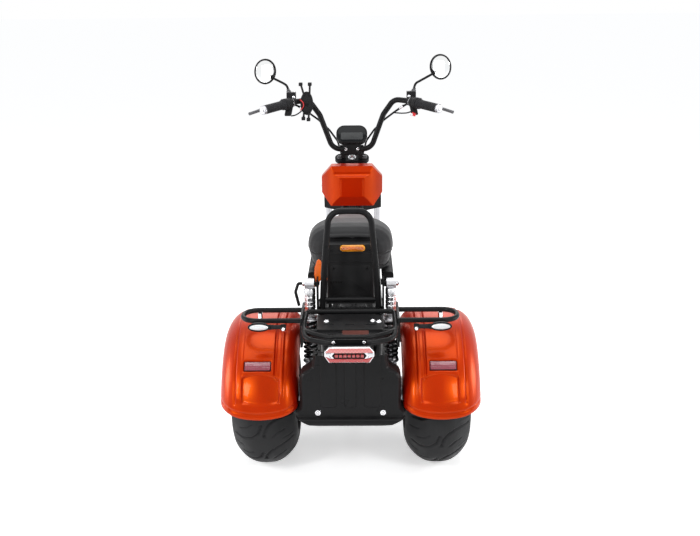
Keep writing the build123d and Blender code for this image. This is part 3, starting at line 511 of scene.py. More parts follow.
points = np.array([v.co for v in saddle.data.vertices])
x, y, z = points.T
middle = np.stack([x * 0, np.clip(y, -0.36, -0.02), x * 0 + 0.69], -1)
inward = middle - points
inward /= np.linalg.norm(inward, axis=1)[:, None]

# the stitched seam all round, and the crease across the back
seam = np.exp(-((z - SEAM_Z) / 0.0026) ** 2) * 0.0040
back_edge = 0.7585 - 0.05 * x ** 2 / 0.1
crease = np.exp(-((z - back_edge) / 0.0028) ** 2) * 0.0030 * (y < -0.405) * rise(-np.abs(x), -0.085, -0.070)
points += inward * (seam + crease)[:, None]
saddle.data.vertices.foreach_set("co", points.ravel())
saddle.data.polygons.foreach_set("use_smooth", [True] * len(saddle.data.polygons))
saddle.data.materials.clear()
saddle.data.materials.append(vinyl)
saddle.data.update()
fitted(saddle, "seat", "seat_vinyl", "seat_cushion")

# ---------------------------------------------------------------- rear cover
# One moulding in black polypropylene between the fenders: three raised panels to stiffen it, a rolled
# lip with a drip groove along its foot, and sides turned forward. Two socket screws hold it.
FOOT_Z, COVER_Y = 243, -845
half_at = np.array([(FOOT_Z, 100), (244, 116), (247, 130), (252, 143), (259, 156), (268, 166), (278, 171.5),
                    (286, 171), (292, 165), (300, 157.5), (320, 156), (383, 156), (398, 154), (413, 148),
                    (424, 131), (433, 118), (455, 114), (475, 112)])
levels = np.concatenate([np.linspace(FOOT_Z, 300, 60), np.linspace(301, 475, 110)])
half = smoothed(np.interp(levels, half_at[:, 0], half_at[:, 1]), 2)
share = np.linspace(-1, 1, 181)
wide = half[:, None] * share[None, :]
high = levels[:, None] + 0 * wide
inset = np.minimum(half[:, None] - np.abs(wide), (high - FOOT_Z) * 1.2)


def rounded_box(x, z, centre_x, half_x, low_z, high_z, corner):
    """Distance in from the edge of a box with rounded corners; negative outside."""
    dx = np.abs(x - centre_x) - (half_x - corner)
    dz = np.abs(z - (low_z + high_z) / 2) - ((high_z - low_z) / 2 - corner)
    return corner - np.hypot(np.maximum(dx, 0), np.maximum(dz, 0)) - np.minimum(np.maximum(dx, dz), 0)


# three raised panels, the rolled lip along the foot with its groove and bead, and the turned rim
swell = np.zeros_like(wide)
for centre_x, width in [(-67, 50), (0, 37), (67, 50)]:
    swell += 4.5 * rise(rounded_box(wide, high, centre_x, width / 2, 305, 520, 11), 0.0, 2.2)
swell += 12.5 * (1 - rise(high, 268, 276))
swell -= 1.8 * np.exp(-((high - 261.5) / 1.5) ** 2) * (np.abs(wide) < 150)
swell += 2.2 * np.exp(-((high - 269.5) / 2.0) ** 2)
swell -= 10 * (1 - rise(inset, 0, 13)) ** 2
face = np.stack([wide, COVER_Y - swell, high], -1)
returns = []
for forward in (2, 8, 20, 38, 60):
    returns.append(np.stack([np.sign(share[[0, -1]])[None, :] * (half[:, None] + 0.2 * forward ** 0.5),
                             face[:, [0, -1], 1] + forward, high[:, [0, -1]]], -1))
left = np.concatenate([r[:, :1] for r in returns[::-1]], 1)
right = np.concatenate([r[:, 1:] for r in returns], 1)
skin = np.concatenate([left, face, right], 1)
foot = [skin[0] + np.array([0, forward, -0.4]) for forward in (40, 14, 3)]
skin = np.concatenate([np.array(foot), skin]) / 1000
cover_black = finish("cover_plastic", (0.009, 0.009, 0.0095), 0.34, grain=0.35, grain_size=1500,
                     mottle=0.25, edge=0, patches=12)
cover = grid_mesh("cover_skin", skin, cover_black)
thickened(cover)
fitted(cover, "chassis", "black_plastic", "rear_cover")


def turned(name, profile, place, along, surface, slot="silver_metal", around=36, body="chassis"):
    """A piece turned about an axis: radius and height pairs in mm, from a place in metres."""
    profile = np.array(profile, float) / 1000
    turn = full_turn(around)
    ring = np.stack([profile[None, :, 0] * np.cos(turn)[:, None], profile[None, :, 0] * np.sin(turn)[:, None],
                     profile[None, :, 1] + 0 * turn[:, None]], -1)
    piece = grid_mesh(name, ring, surface, wrap=True)
    aim = Vector(along).to_track_quat("Z", "Y").to_matrix().to_4x4()
    with editing(piece.data) as bm:
        bmesh.ops.remove_doubles(bm, verts=bm.verts, dist=1e-6)
        bmesh.ops.recalc_face_normals(bm, faces=bm.faces)
        bmesh.ops.transform(bm, matrix=Matrix.Translation(place) @ aim, verts=bm.verts)
    piece.data.set_sharp_from_angle(angle=math.radians(35))
    fitted(piece, body, slot)
    return piece


SCREW = [(0, 0.4), (2.2, 0.4), (2.6, 2.6), (4.4, 3.2), (5.4, 2.2), (5.6, 0.2), (8.6, 0), (8.8, -1.2),
         (0, -1.4)]
bright = finish("zinc_plate", (0.72, 0.72, 0.74), 0.24, metal=1.0, grain=0.1, mottle=0.3)
for body, side in SIDES:
    turned("cover_screw_" + body, SCREW, (side * 0.1005, -0.8462, 0.2865), (0, -1, 0), bright)

# ---------------------------------------------------------------- tail lamp, reflectors and signals
# The tail lamp is a moulded red lens with a row of square lights in a dark slot, between bright
# pointed ends, in a plated bezel. Reflectors sit in the fenders; each signal is a pod on a stem.


def slab(name, outline, place, depth, surface, slot="black_plastic", bevel=1.0, right=(1, 0, 0), up=(0, 0, 1),
         body="chassis"):
    """A flat piece with softened edges: outline in mm on its face, and its depth in mm behind it."""
    right, up = Vector(right).normalized(), Vector(up).normalized()
    across = Matrix.Identity(4)
    for column, axis in enumerate((right, up, right.cross(up), Vector(place))):
        for row in range(3):
            across[row][column] = axis[row]
    mesh = bpy.data.meshes.new(name)
    with editing(mesh) as bm:
        face = bm.faces.new([bm.verts.new((x / 1000, z / 1000, 0)) for x, z in outline])
        back = bmesh.ops.extrude_face_region(bm, geom=[face])
        bmesh.ops.translate(bm, vec=(0, 0, -depth / 1000),
                            verts=[item for item in back["geom"] if isinstance(item, bmesh.types.BMVert)])
        bmesh.ops.recalc_face_normals(bm, faces=bm.faces)
        rim = [edge for edge in bm.edges if all(abs(v.co.z) < 1e-7 for v in edge.verts)]
        bmesh.ops.bevel(bm, geom=rim, offset=bevel / 1000, segments=3, affect="EDGES", profile=0.5)
        bmesh.ops.transform(bm, matrix=across, verts=bm.verts)
    mesh.materials.append(surface)
    mesh.polygons.foreach_set("use_smooth", [True] * len(mesh.polygons))
    mesh.set_sharp_from_angle(angle=math.radians(32))
    piece = placed(name, mesh)
    fitted(piece, body, slot)
    return piece


def rounded(half_x, half_z, corner, centre=(0, 0), count=7):
    """Outline of a rectangle with round corners."""
    turns = np.linspace(0, math.pi / 2, count)
    points = []
    for quarter, (sx, sz) in enumerate([(1, 1), (-1, 1), (-1, -1), (1, -1)]):
        for turn in turns + quarter * math.pi / 2:
            points.append((centre[0] + sx * (half_x - corner) + corner * math.cos(turn),
                           centre[1] + sz * (half_z - corner) + corner * math.sin(turn)))
    return points


def lens(name, colour, deep, pitch, depth=0.6, clear=0.25):
    """Moulded plastic lens: clear over a prism pattern of small squares."""
    surface = finish(name, colour, 0.12, grain=0.02, mottle=0.12, edge=0, coat=1.0)
    tree = surface.node_tree
    place = joined(tree, "TexCoord").outputs["Object"]
    squares = joined(tree, "TexChecker", {"Vector": place, "Scale": 1000 / pitch})
    prisms = joined(tree, "TexVoronoi", {"Vector": place, "Scale": 600 / pitch, "Randomness": 0.0})
    bump = joined(tree, "Bump", {"Height": prisms.outputs["Distance"], "Strength": depth,
                                 "Distance": 0.001})
    blend = joined(tree, "Mix", {"Factor": squares.outputs["Fac"]}, data_type="RGBA")
    blend.inputs[6].default_value = (*colour, 1)
    blend.inputs[7].default_value = (*deep, 1)
    plug(tree, tree.nodes["Principled BSDF"], {
        "Base Color": blend.outputs[2], "Normal": bump, "Transmission Weight": clear,
        "Subsurface Weight": 0.15, "Subsurface Radius": (0.004, 0.001, 0.001)})
    return surface


BACK, LAMP_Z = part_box("tail_lamp")[0].y, 0.5225
red_lens = lens("red_lens", (0.62, 0.018, 0.020), (0.44, 0.010, 0.012), 4)
pink_lens = lens("pale_red_lens", (0.86, 0.28, 0.26), (0.80, 0.20, 0.19), 5)
slot_black = finish("slot_black", (0.010, 0.006, 0.006), 0.25, grain=0.1, edge=0)
bezel = finish("bright_bezel", (0.56, 0.56, 0.58), 0.16, metal=1.0, grain=0.03, mottle=0.2)
shell = finish("lamp_shell", (0.008, 0.008, 0.0085), 0.40, grain=0.4, grain_size=1200)

octagon = [(-73, 9), (-61, 23), (61, 23), (73, 9), (73, -3), (60, -23), (-60, -23), (-73, -3)]


def shrunk(outline, by_x, by_z):
    """An outline drawn in by a margin."""
    far_x, far_z = max(x for x, z in outline), max(abs(z) for x, z in outline)
    return [(x * (1 - by_x / far_x), z * (1 - by_z / far_z)) for x, z in outline]


slab("lamp_bezel", octagon[::-1], (0, BACK + 0.004, LAMP_Z), 10, bezel, "silver_metal", 2.5)
slab("lamp_shell", shrunk(octagon, 1.5, 1.5)[::-1], (0, BACK + 0.0141, LAMP_Z), 15.5, shell)
slab("lamp_lens_top", [(59.5, 22.0), (70, 8.6), (50, 8.5), (44, 7.5), (-44, 7.5), (-50, 8.5), (-70, 8.6),
                       (-59.5, 22.0)], (0, BACK + 0.0012, LAMP_Z), 5, pink_lens, "red_lens", 2)
slab("lamp_lens_low", [(69, -4.0), (57.5, -21.2), (-57.5, -21.2), (-69, -4.0), (-50, -10.5), (50, -10.5)],
     (0, BACK + 0.0012, LAMP_Z), 5, red_lens, "red_lens", 2)
slab("lamp_slot", [(44, 7.2), (51, -1.5), (44, -10.2), (-44, -10.2), (-51, -1.5), (-44, 7.2)],
     (0, BACK + 0.0030, LAMP_Z), 3, slot_black, bevel=0.6)
for i in range(7):
    slab(f"lamp_light_{i}", rounded(4.6, 4.2, 1.2, (-37.5 + 12.5 * i, -1.5)), (0, BACK + 0.0016, LAMP_Z), 2,
         red_lens, "red_lens", 0.7)
for body, side in SIDES:
    ends = [(side * 68, 7.5), (side * 70, 2), (side * 68, -3.5), (side * 53, -9.5), (side * 58, -1.5),
            (side * 53, 7.5)]
    slab("lamp_end_" + body, ends[::side * -1], (0, BACK + 0.0010, LAMP_Z), 4, bezel, "silver_metal", 1.2)
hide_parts("tail_lamp")

# reflectors lie in the recess of each fender
lean = math.radians(43.2)
out = Vector((0, -math.cos(lean), math.sin(lean)))
rise_up = Vector((0, math.sin(lean), math.cos(lean)))
deep_red = lens("reflector_red", (0.30, 0.020, 0.050), (0.22, 0.014, 0.040), 3.2, clear=0.1)
for body, side in SIDES:
    middle = Vector((side * (TRACK_X + 0.0045), AXLE_Y, FENDER_Z)) + out * 0.3245
    slab("reflector_frame_" + body, rounded(41.5, 15.6, 3), middle, 4.5, shell, bevel=0.8, up=rise_up)
    face = slab("reflector_" + body, rounded(39.6, 13.6, 2), middle + out * 0.0012, 3, deep_red, "red_lens",
                up=rise_up)
    if side < 0:
        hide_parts("reflectors")

# each signal: a pod with a clear domed lens toward the back, on a rubber stem
clear_lens = lens("clear_lens", (0.94, 0.95, 0.96), (0.88, 0.89, 0.91), 4, clear=0.3)
rubber_black = finish("rubber_black", (0.016, 0.016, 0.017), 0.62, grain=0.4, grain_size=700)
SIGNAL_Y, SIGNAL_Z = -0.806, 0.553
for body, side in SIDES:
    dome = turned("signal_lens_" + body, [(0.01, 7), (10, 6.6), (18, 5.4), (25, 3.2), (29, 0.6),
                                          (29.5, -1.5), (0.01, -2)], (0, 0, 0), (0, -1, 0), clear_lens,
                  "clear_lens", 48)
    pod = Matrix.Translation((side * 0.278, SIGNAL_Y, SIGNAL_Z))
    dome.data.transform(pod @ Matrix.Diagonal((1, 1, 0.32, 1)))
    rim = turned("signal_rim_" + body, [(19, -1.5), (27.5, 0.8), (31, 1.4), (33.3, 0.2), (34, -3), (32, -8),
                                        (26, -15), (17, -21), (0.01, -24)], (0, 0, 0), (0, -1, 0), shell,
                 "black_plastic", 48)
    rim.data.transform(pod @ Matrix.Diagonal((1, 1, 0.43, 1)))
    turned("signal_stem_" + body, [(0.01, 0), (8.4, 0), (8.4, 7), (7.2, 8.5), (7.8, 10), (7.2, 11.5),
                                   (7.8, 13), (7.2, 14.5), (7.6, 16), (6.8, 18), (6.8, 42), (8, 43),
                                   (8, 54), (0.01, 54)], (side * 0.250, SIGNAL_Y + 0.014, SIGNAL_Z - 0.004),
           (-side, 0, 0), rubber_black, "black_plastic", 24)
    slab("signal_bracket_" + body, rounded(8, 10, 3), (side * 0.204, SIGNAL_Y + 0.0075, 0.5500), 3,
         powder_coat, bevel=0.8)
    if side < 0:
        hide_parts("rear_signals")
    turned("signal_bolt_" + body, [(0.01, 0), (5.6, 0), (6.2, 2.2), (5.0, 4), (0.01, 4.4)],
           (side * 0.204, SIGNAL_Y + 0.008, 0.5445), (0, -1, 0), bright, around=6)

# on the battery box, under the saddle's back: a slim amber lamp with a moulded rim and upright ribs
amber = lens("amber_lens", (0.90, 0.22, 0.004), (0.74, 0.15, 0.003), 6, clear=0.2)
amber_edge = finish("amber_edge", (0.86, 0.34, 0.015), 0.25, grain=0.05, mottle=0.1, edge=0)
AMBER = (0.008, -0.518, 0.722)
slab("amber_rim", rounded(40.8, 9.8, 9.7), (AMBER[0], AMBER[1] + 0.001, AMBER[2]), 10, amber_edge,
     "amber_lens", 1.6)
face = slab("amber_face", rounded(37.6, 6.8, 6.7), (AMBER[0], AMBER[1] - 0.0012, AMBER[2]), 5, amber,
            "amber_lens", 2.4)
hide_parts("amber_lamp")
for i in range(6):
    slab(f"amber_line_{i}", rounded(0.35, 5.0, 0.3, (-25 + 10 * i, 0)),
         (AMBER[0], AMBER[1] - 0.0022, AMBER[2]), 1.2, amber_edge, "amber_lens", 0.2)

# ---------------------------------------------------------------- shocks
# Coil-over shocks: black wound springs over chromed rods, silver cylinders above them with turned
# bands and a preload collar, and rubber-bushed eyes on the frame and the axle.
SHOCK_X, SHOCK_Y = 0.133, -0.570
COILS, COIL_R, WIRE_R, SPRING_LENGTH = 8.2, 0.0205, 0.0042, 0.133
for body, side in SIDES:
    t = np.linspace(0, 1, 260)
    swing = t * COILS * 2 * math.pi
    line = np.stack([side * SHOCK_X + COIL_R * np.cos(swing), SHOCK_Y + COIL_R * np.sin(swing),
                     0.360 + SPRING_LENGTH * t], -1)
    tangent = np.gradient(line, axis=0)
    tangent /= np.linalg.norm(tangent, axis=1)[:, None]
    radial = np.stack([np.cos(swing), np.sin(swing), 0 * swing], -1)
    upward = np.cross(tangent, radial)
    turn = full_turn(10)
    ring = line[None, :, :] + WIRE_R * (np.cos(turn)[:, None, None] * radial[None] +
                                        np.sin(turn)[:, None, None] * upward[None])
    spring = grid_mesh("spring_" + body, ring[::-1], powder_coat, wrap=True)
    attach(spring, "chassis")
    if side < 0:
        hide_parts("shock_springs")
    turned("spring_seat_" + body, [(9, 0), (25, 0), (26, 1.5), (26, 5), (24, 6.5), (18, 7), (9, 7)],
           (side * SHOCK_X, SHOCK_Y, 0.350), (0, 0, 1), cast_alloy, around=40)
    turned("spring_collar_" + body, [(17.2, 0), (25, 0), (26, 1.5), (26, 4), (24.5, 5.5), (24.5, 8),
                                     (25.5, 9), (25.5, 11), (17.2, 12)], (side * SHOCK_X, SHOCK_Y, 0.4965),
           (0, 0, 1), cast_alloy, around=40)
    bands = [(0.01, 0), (15, 0), (18.4, 1.4), (18.8, 3), (18.8, 12), (17.6, 13), (17.6, 17), (18.8, 18),
             (18.8, 27), (17.6, 28), (17.6, 32), (18.8, 33), (18.8, 42), (17.6, 43), (17.6, 47), (18.8, 48),
             (18.8, 66), (17.2, 69), (12, 71), (0.01, 71)]
    turned("shock_cylinder_" + body, bands, (side * SHOCK_X, SHOCK_Y, 0.534), (0, 0, 1), bright, around=44)
    turned("shock_nut_" + body, [(0.01, 0), (8, 0), (9.6, 1.6), (9.6, 6), (8.4, 7.6), (5, 8), (4.6, 11),
                                 (0.01, 11.4)], (side * 0.1485, SHOCK_Y, 0.620), (side, 0, 0), bright,
           around=6)

# ---------------------------------------------------------------- faceted front box
# A tank-like cover of moulded plastic in the fenders' candy orange, bolted over the head tube: eight
# crisp facets round a flat panel, with a raised lip above it. A lock sits low on its left side.
RIM_Y, BRACKET_Y = 0.312, 0.362
FLAT_HALF, FLAT_OUT = 50, 64
levels = np.concatenate([np.linspace(689, 737, 50), np.linspace(738, 800, 40), np.linspace(801, 851, 70)])
half = np.interp(levels, [689, 737, 801, 851], [86, 123, 123, 82])
share = np.linspace(-1, 1, 221)
wide = half[:, None] * share[None, :]
high = levels[:, None] + 0 * wide
away = np.clip((np.abs(wide) - FLAT_HALF) / 73, 0, 1)
side_out = FLAT_OUT * (1 - 0.55 * away - 0.45 * away ** 2.6)
side_out = np.where(np.abs(wide) < FLAT_HALF, FLAT_OUT + (FLAT_HALF - np.abs(wide)) * 0.9, side_out)
top_out = np.interp(high, [808, 810, 815, 819, 829, 851], [FLAT_OUT, 62.6, 54, 51, 50.5, 43])
top_out = np.where(high < 808, FLAT_OUT + (808 - high) * 1.2, top_out)
low_out = np.where(high < 729, 43 + (high - 689) * 0.525, FLAT_OUT + (high - 729) * 1.2)


def soft_min(layers, round_mm):
    """The lowest of some heights, with the corner between them rounded."""
    weights = [np.exp(-layer / round_mm) for layer in layers]
    return -round_mm * np.log(sum(weights))


outward = soft_min([side_out, top_out, low_out, np.full_like(wide, FLAT_OUT)], 0.7)
outward = np.maximum(outward, 0)
outward -= 1.2 * strip(np.abs(wide), 43.5, 46, 0.8) * strip(high, 733, 800, 0.8)
face = np.stack([wide / 1000, RIM_Y - outward / 1000, high / 1000], -1)
front_at = np.minimum(BRACKET_Y, 0.318 + 0.465 * (0.875 - levels / 1000))
edge_back = []
for step in (0.12, 1.0):
    ring = face[:, [0, -1]].copy()
    ring[..., 1] = RIM_Y + step * (front_at[:, None] - RIM_Y)
    edge_back.append(ring)
near, far = edge_back
skin = np.concatenate([far[:, :1], near[:, :1], face, near[:, 1:], far[:, 1:]], 1)
low_row, top_row = skin[0].copy(), skin[-1].copy()
low_row[:, 1] = front_at[0]
top_row[:, 1] = front_at[-1]
skin = np.concatenate([low_row[None], skin, top_row[None]])
box_skin = grid_mesh("front_box_skin", skin, candy)
with editing(box_skin.data) as bm:
    bmesh.ops.remove_doubles(bm, verts=bm.verts, dist=1e-5)
    bmesh.ops.holes_fill(bm, edges=[edge for edge in bm.edges if edge.is_boundary], sides=0)
    bmesh.ops.recalc_face_normals(bm, faces=bm.faces)
box_skin.data.set_sharp_from_angle(angle=math.radians(40))
fitted(box_skin, "chassis", "orange_paint", "front_box")
turned("box_lock", [(0.01, 2.5), (4, 2.5), (4.4, 1.5), (6.5, 1.2), (7, 0), (0.01, -1)],
       (-0.1225, 0.322, 0.760), (-1, 0, 0), bright, around=24)
dress(candy, "front_fender")

# ---------------------------------------------------------------- rack fittings
# Zinc bolts hold the carrying plate and the lamp's bracket; chromed posts carry the loops over the
# fenders; a rubber pad lies on the crossbar, and a moulded tray with ribs fills the space under it.
BOLT = [(0.01, 3.2), (2.6, 3.2), (3.0, 1.9), (3.9, 1.9), (4.7, 3.6), (6.2, 3.2), (6.8, 1.6), (8.6, 0.6),
        (8.8, 0), (0.01, -0.4)]
for name, x, y in [("plate_bolt_left", -0.0725, -0.765), ("plate_bolt_right", 0.0705, -0.762),
                   ("plate_bolt_outer", 0.0895, -0.770)]:
    turned(name, BOLT, (x, y, 0.5572), (0, 0, 1), bright, around=24)
for name, x in [("bracket_bolt_left", -0.0465), ("bracket_bolt_right", 0.0425)]:
    turned(name, [(r * 0.62, h) for r, h in BOLT], (x, -0.9262, 0.5475), (0, -1, 0), bright, around=24)
# painted shade: the bracket's slot and the box's vents are flat near-black sheets that stand for the shade
# inside their openings
painted_shade = finish("painted_shade_sheet", (0.006, 0.006, 0.006), 0.7, grain=0.2, edge=0)
slab("painted_shade_sheet", rounded(29, 4.5, 4.4), (-0.002, -0.9264, 0.5490), 1.2, painted_shade, "black_frame", 0.2)
for body, side in SIDES:
    crown = FENDER_Z + math.sqrt((FENDER_R + 0.0015) ** 2 - 0.102 ** 2)
    turned("loop_post_" + body, [(0.01, -4), (15, -4), (15, 1.5), (13.5, 3), (9, 3.6), (7.4, 6), (7.1, 9),
                                 (7.1, 39), (0.01, 39)], (side * 0.287, -0.662, crown), (0, 0, 1), chrome,
           "chrome", 32)
brown = finish("strap_rubber", (0.10, 0.020, 0.012), 0.55, grain=0.4, grain_size=600, mottle=0.4)
slab("crossbar_pad", rounded(40, 6.5, 3, (17.5, 0)), (0, -0.8412, 0.5475), 3.5, brown, "black_frame", 1.2)
tray = finish("tray_plastic", (0.012, 0.012, 0.0125), 0.55, grain=0.5, grain_size=900, mottle=0.3, patches=14)
slab("rack_tray", rounded(84, 78, 10), (0, -0.625, 0.5305), 4, tray, bevel=1.5, up=(0, 1, 0))
for i in range(9):
    slab(f"tray_rib_{i}", rounded(3.2, 74, 3, (-64 + 16 * i, 0)), (0, -0.625, 0.5345), 5, tray, bevel=1.2,
         up=(0, 1, 0))

# ---------------------------------------------------------------- battery box, vents and side fittings
# A moulded ABS box with a stepped, rounded back, a row of small vents drawn as dark slabs of painted shade,
# and screws in its corners.
abs_black = finish("box_plastic", (0.014, 0.014, 0.0145), 0.48, grain=0.5, grain_size=1200, mottle=0.3)
dress(abs_black, "battery_box")
for i, (z, half_x) in enumerate([(0.7005, 72), (0.6735, 70)]):
    slab(f"box_step_{i}", rounded(half_x, 1.6, 1.5), (0, -0.5072, z), 2.4, abs_black, bevel=0.9)
slab("box_panel", rounded(66, 52, 9), (0, -0.5080, 0.6100), 3, abs_black, bevel=1.6)
# each vent is a thin slab of painted shade, not an opening
for i in range(5):
    slab(f"box_vent_{i}", rounded(2.1, 3.6, 1.0, (-64 + 8.4 * i, 0)), (0.0, -0.5092, 0.6045), 1.4, painted_shade,
         bevel=0.3)
for i, (x, z) in enumerate([(-0.064, 0.712), (0.064, 0.712), (-0.056, 0.652), (0.056, 0.652)]):
    turned(f"box_screw_{i}", [(0.01, 0.6), (2.0, 0.6), (2.3, 1.8), (3.9, 1.4), (4.6, 0), (0.01, -0.5)],
           (x, -0.5064 if z > 0.7 else -0.5082, z), (0, -1, 0), shell, "black_plastic", 18)
slab("lever_rim", [(-108.5, 598), (-105.2, 598), (-97.4, 638), (-93.6, 668), (-97.3, 683.5), (-103, 688.6),
                   (-108.8, 683.5), (-115.4, 661.5), (-117.3, 640.5)], (0, -0.5366, 0), 1.0, lever_orange,
     "orange_plastic", 0.6)

# ---------------------------------------------------------------- grips, pods, levers and switches
# Moulded rubber grips with fine ribs and plated end weights; switch pods in two glass-filled nylon
# halves, clamped on the bar inboard of them; a brake reservoir with a screwed lid on each perch.
BAR_END = Vector((0.332, 0.144, 1.093))
BAR_OUT = (BAR_END - Vector((0.222, 0.301, 1.105))).normalized()
steer_slab, steer_turned = partial(slab, body="steering"), partial(turned, body="steering")


def on_bar(side, back):
    """Point on a bar's straight end, a distance in mm in from its tip."""
    point = BAR_END - BAR_OUT * (back / 1000)
    return Vector((side * point.x, point.y, point.z))


nylon = finish("pod_nylon", (0.014, 0.014, 0.015), 0.46, grain=0.5, grain_size=1000, mottle=0.3)
grip_rubber = finish("grip_rubber", (0.022, 0.022, 0.024), 0.56, grain=0.5, grain_size=800, mottle=0.25)
red_plastic = finish("red_switch", (0.62, 0.02, 0.025), 0.3, grain=0.1, mottle=0.15)
lever_grey = finish("lever_alloy", (0.10, 0.10, 0.105), 0.4, metal=0.6, grain=0.3, grain_size=1200)
GRIP = [(11.2, 0), (20, 0), (21, 1.2), (21, 4), (18.4, 6)]
for i in range(22):
    start = 8 + i * 4.6
    GRIP += [(16.4, start), (17.3, start + 0.8), (17.3, start + 3.2), (16.4, start + 4.0)]
GRIP += [(16.8, 110.5), (17.2, 112), (17.2, 118), (11.2, 118.5)]
for body, side in SIDES:
    out = Vector((side * BAR_OUT.x, BAR_OUT.y, BAR_OUT.z))
    steer_turned("grip_" + body, GRIP, on_bar(side, 118), out, grip_rubber, "grip_rubber", 40)
    if side < 0:
        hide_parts("grips")
    steer_turned("grip_end_" + body, [(0.01, 11.5), (6, 11.5), (8, 11), (8.6, 9.4), (10.5, 9.9),
                                      (14.8, 8.8), (17, 6), (17.4, 3), (17.2, 0.4), (11.2, 0.2)],
                 on_bar(side, 0), out, rim_alloy, around=40)
    steer_turned("pod_" + body, [(11.4, 0), (18, 0), (20.6, 1.4), (21.6, 4), (22, 9), (21.7, 18),
                                 (20.9, 18.6), (21.7, 19.2), (22.8, 26), (22.8, 34), (21.4, 38.6),
                                 (19, 40.4), (11.4, 40.4)], on_bar(side, 159.5), out, nylon,
                 "black_plastic", 44)
    steer_turned("pod_ring_" + body, [(17, 0), (19.2, 0.4), (19.8, 1.6), (19.8, 3.6), (19, 5), (17, 5.2)],
                 on_bar(side, 165), out, bright, around=40)
    perch = on_bar(side, 172)
    steer_slab("reservoir_lid_" + body, rounded(18.2, 17.2, 5),
               perch + Vector((side * 0.004, 0.023, 0.0385)), 5, nylon, bevel=1.8, up=(0, 1, 0))
    for i, dx in enumerate((-12, 12)):
        steer_turned(f"lid_screw_{body}_{i}", [(0.01, 0.4), (1.4, 0.4), (1.7, 1.4), (2.6, 1.2), (3.2, 0),
                                               (0.01, -0.4)],
                     perch + Vector((side * 0.004 + dx / 1000, 0.023, 0.0386)), (0, 0, 1), bright,
                     around=16)
    steer_turned("sight_glass_" + body, [(0.01, 1.8), (3.4, 1.6), (4.2, 0.8), (5.4, 1.0), (6, 0),
                                         (0.01, -1)], perch + Vector((-side * 0.006, 0.0058, 0.020)),
                 (0, -1, 0), chrome, around=28)
    # the mirror's stem stands in a hex adapter on the perch
    steer_turned("mirror_nut_" + body, [(5.3, -4), (8.0, -4), (9.0, -3), (9.0, 17), (8.0, 18.4), (6.3, 19),
                                        (6.3, 25), (4.6, 26)], (side * 0.2435, 0.3052, 1.131),
                 (side * 0.012, -0.006, 0.046), lever_grey, "black_plastic", 6)
    # the pod's switch housing hangs under it, with its buttons toward the rider
    hang = on_bar(side, 152)
    steer_slab("switch_body_" + body, rounded(13.5, 21, 6), hang + Vector((side * 0.001, -0.012, -0.028)),
               26, nylon, bevel=2.5, up=(-side * 0.22, 0, 1))
    for i, dz in enumerate((-4, 6)):
        steer_slab(f"switch_button_{body}_{i}", rounded(7.5, 3.4, 1.6),
                   hang + Vector((side * 0.004 - side * dz * 0.00022, -0.0145, -0.024 + dz / 1000)), 5,
                   shell, bevel=1.4)
steer_slab("kill_switch", rounded(8.5, 6.5, 2.4), on_bar(1, 152) + Vector((0.000, -0.020, -0.045)), 14,
           red_plastic, bevel=2.2, right=(1, 0, -0.35), up=(0.35, 0, 1))
steer_slab("kill_switch_tip", rounded(4.0, 5.4, 1.6), on_bar(1, 152) + Vector((-0.0085, -0.0215, -0.0455)),
           12, bright, "silver_metal", 1.4, right=(1, 0, -0.35), up=(0.35, 0, 1))
dress(nylon, "bar_controls", "headlamp")
dress(lever_grey, "brake_levers")

# ---------------------------------------------------------------- mirrors
# Round convex glass in a black shell on a bent steel stem; the glass is silvered behind and its edge
# is ground to a narrow bevel.


def bent_tube(name, points, radius, ease, surface, around=12):
    """A round bar through some points in metres, its corners eased over a length."""
    points = [Vector(point) for point in points]
    line = [points[0]]
    for before, corner, after in zip(points, points[1:], points[2:]):
        start = corner + (before - corner).normalized() * min(ease, (before - corner).length * 0.48)
        end = corner + (after - corner).normalized() * min(ease, (after - corner).length * 0.48)
        for t in np.linspace(0, 1, 7):
            line.append(start.lerp(corner, t).lerp(corner.lerp(end, t), t))
    line.append(points[-1])
    rings, normal = [], Vector((0.31, 0.22, 0.92))
    for i, point in enumerate(line):
        along = (line[min(i + 1, len(line) - 1)] - line[max(i - 1, 0)]).normalized()
        normal = (normal - along * normal.dot(along)).normalized()
        other = along.cross(normal)
        rings.append([point + radius * (math.cos(t) * normal + math.sin(t) * other)
                      for t in full_turn(around)])
    return grid_mesh(name, np.array(rings).transpose(1, 0, 2), surface, wrap=True)


silvered = finish("silvered_glass", (0.90, 0.91, 0.91), 0.03, metal=1.0, grain=0.0, mottle=0.03, edge=0)
MIRROR_TURN = math.radians(38)
for body, side, across_by, up_by in [("left", -1, 0, 0), ("right", 1, 0.0145, 0.0120)]:
    facing = Vector((-side * math.sin(MIRROR_TURN), -math.cos(MIRROR_TURN), 0))
    centre = Vector((side * (0.3325 + across_by), 0.268, 1.2265 + up_by))
    glass = steer_turned("mirror_glass_" + body, [(0.01, 2.2), (16, 1.9), (30, 1.1), (41.5, -0.2),
                                                  (42.2, -0.4), (44.6, -1.8), (44.9, -4)],
                         centre - facing * 0.0022, facing, silvered, "mirror", 72)
    ring = steer_turned("mirror_rim_" + body, [(44.6, -4), (44.8, 0.5), (46.4, 1.8), (48.6, 0.8),
                                               (49.4, -1.6), (49, -5), (46.5, -9), (41.5, -12.5),
                                               (32, -15.5), (18, -17.2), (0.01, -17.8)], centre, facing,
                        shell, "black_plastic", 72)
    bends = [(0.2435, 0.306, 1.125), (0.2515, 0.301, 1.166 + up_by / 2),
             (0.262 + across_by / 2, 0.296, 1.176 + up_by / 2), (0.315 + across_by, 0.292, 1.203 + up_by)]
    stem = bent_tube("mirror_stem_" + body, [(side * x, y, z) for x, y, z in bends], 0.0046, 0.018, shell)
    fitted(stem, "steering", "black_plastic")
    steer_turned("mirror_ball_" + body, [(0.01, 9), (5, 8), (8.4, 4.5), (9, 0), (8, -4.5), (0.01, -8)],
                 (side * (0.3135 + across_by), 0.2925, 1.2015 + up_by), facing, shell, "black_plastic", 28)
    if side < 0:
        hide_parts("mirror_glasses")
        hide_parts("mirror_shells")

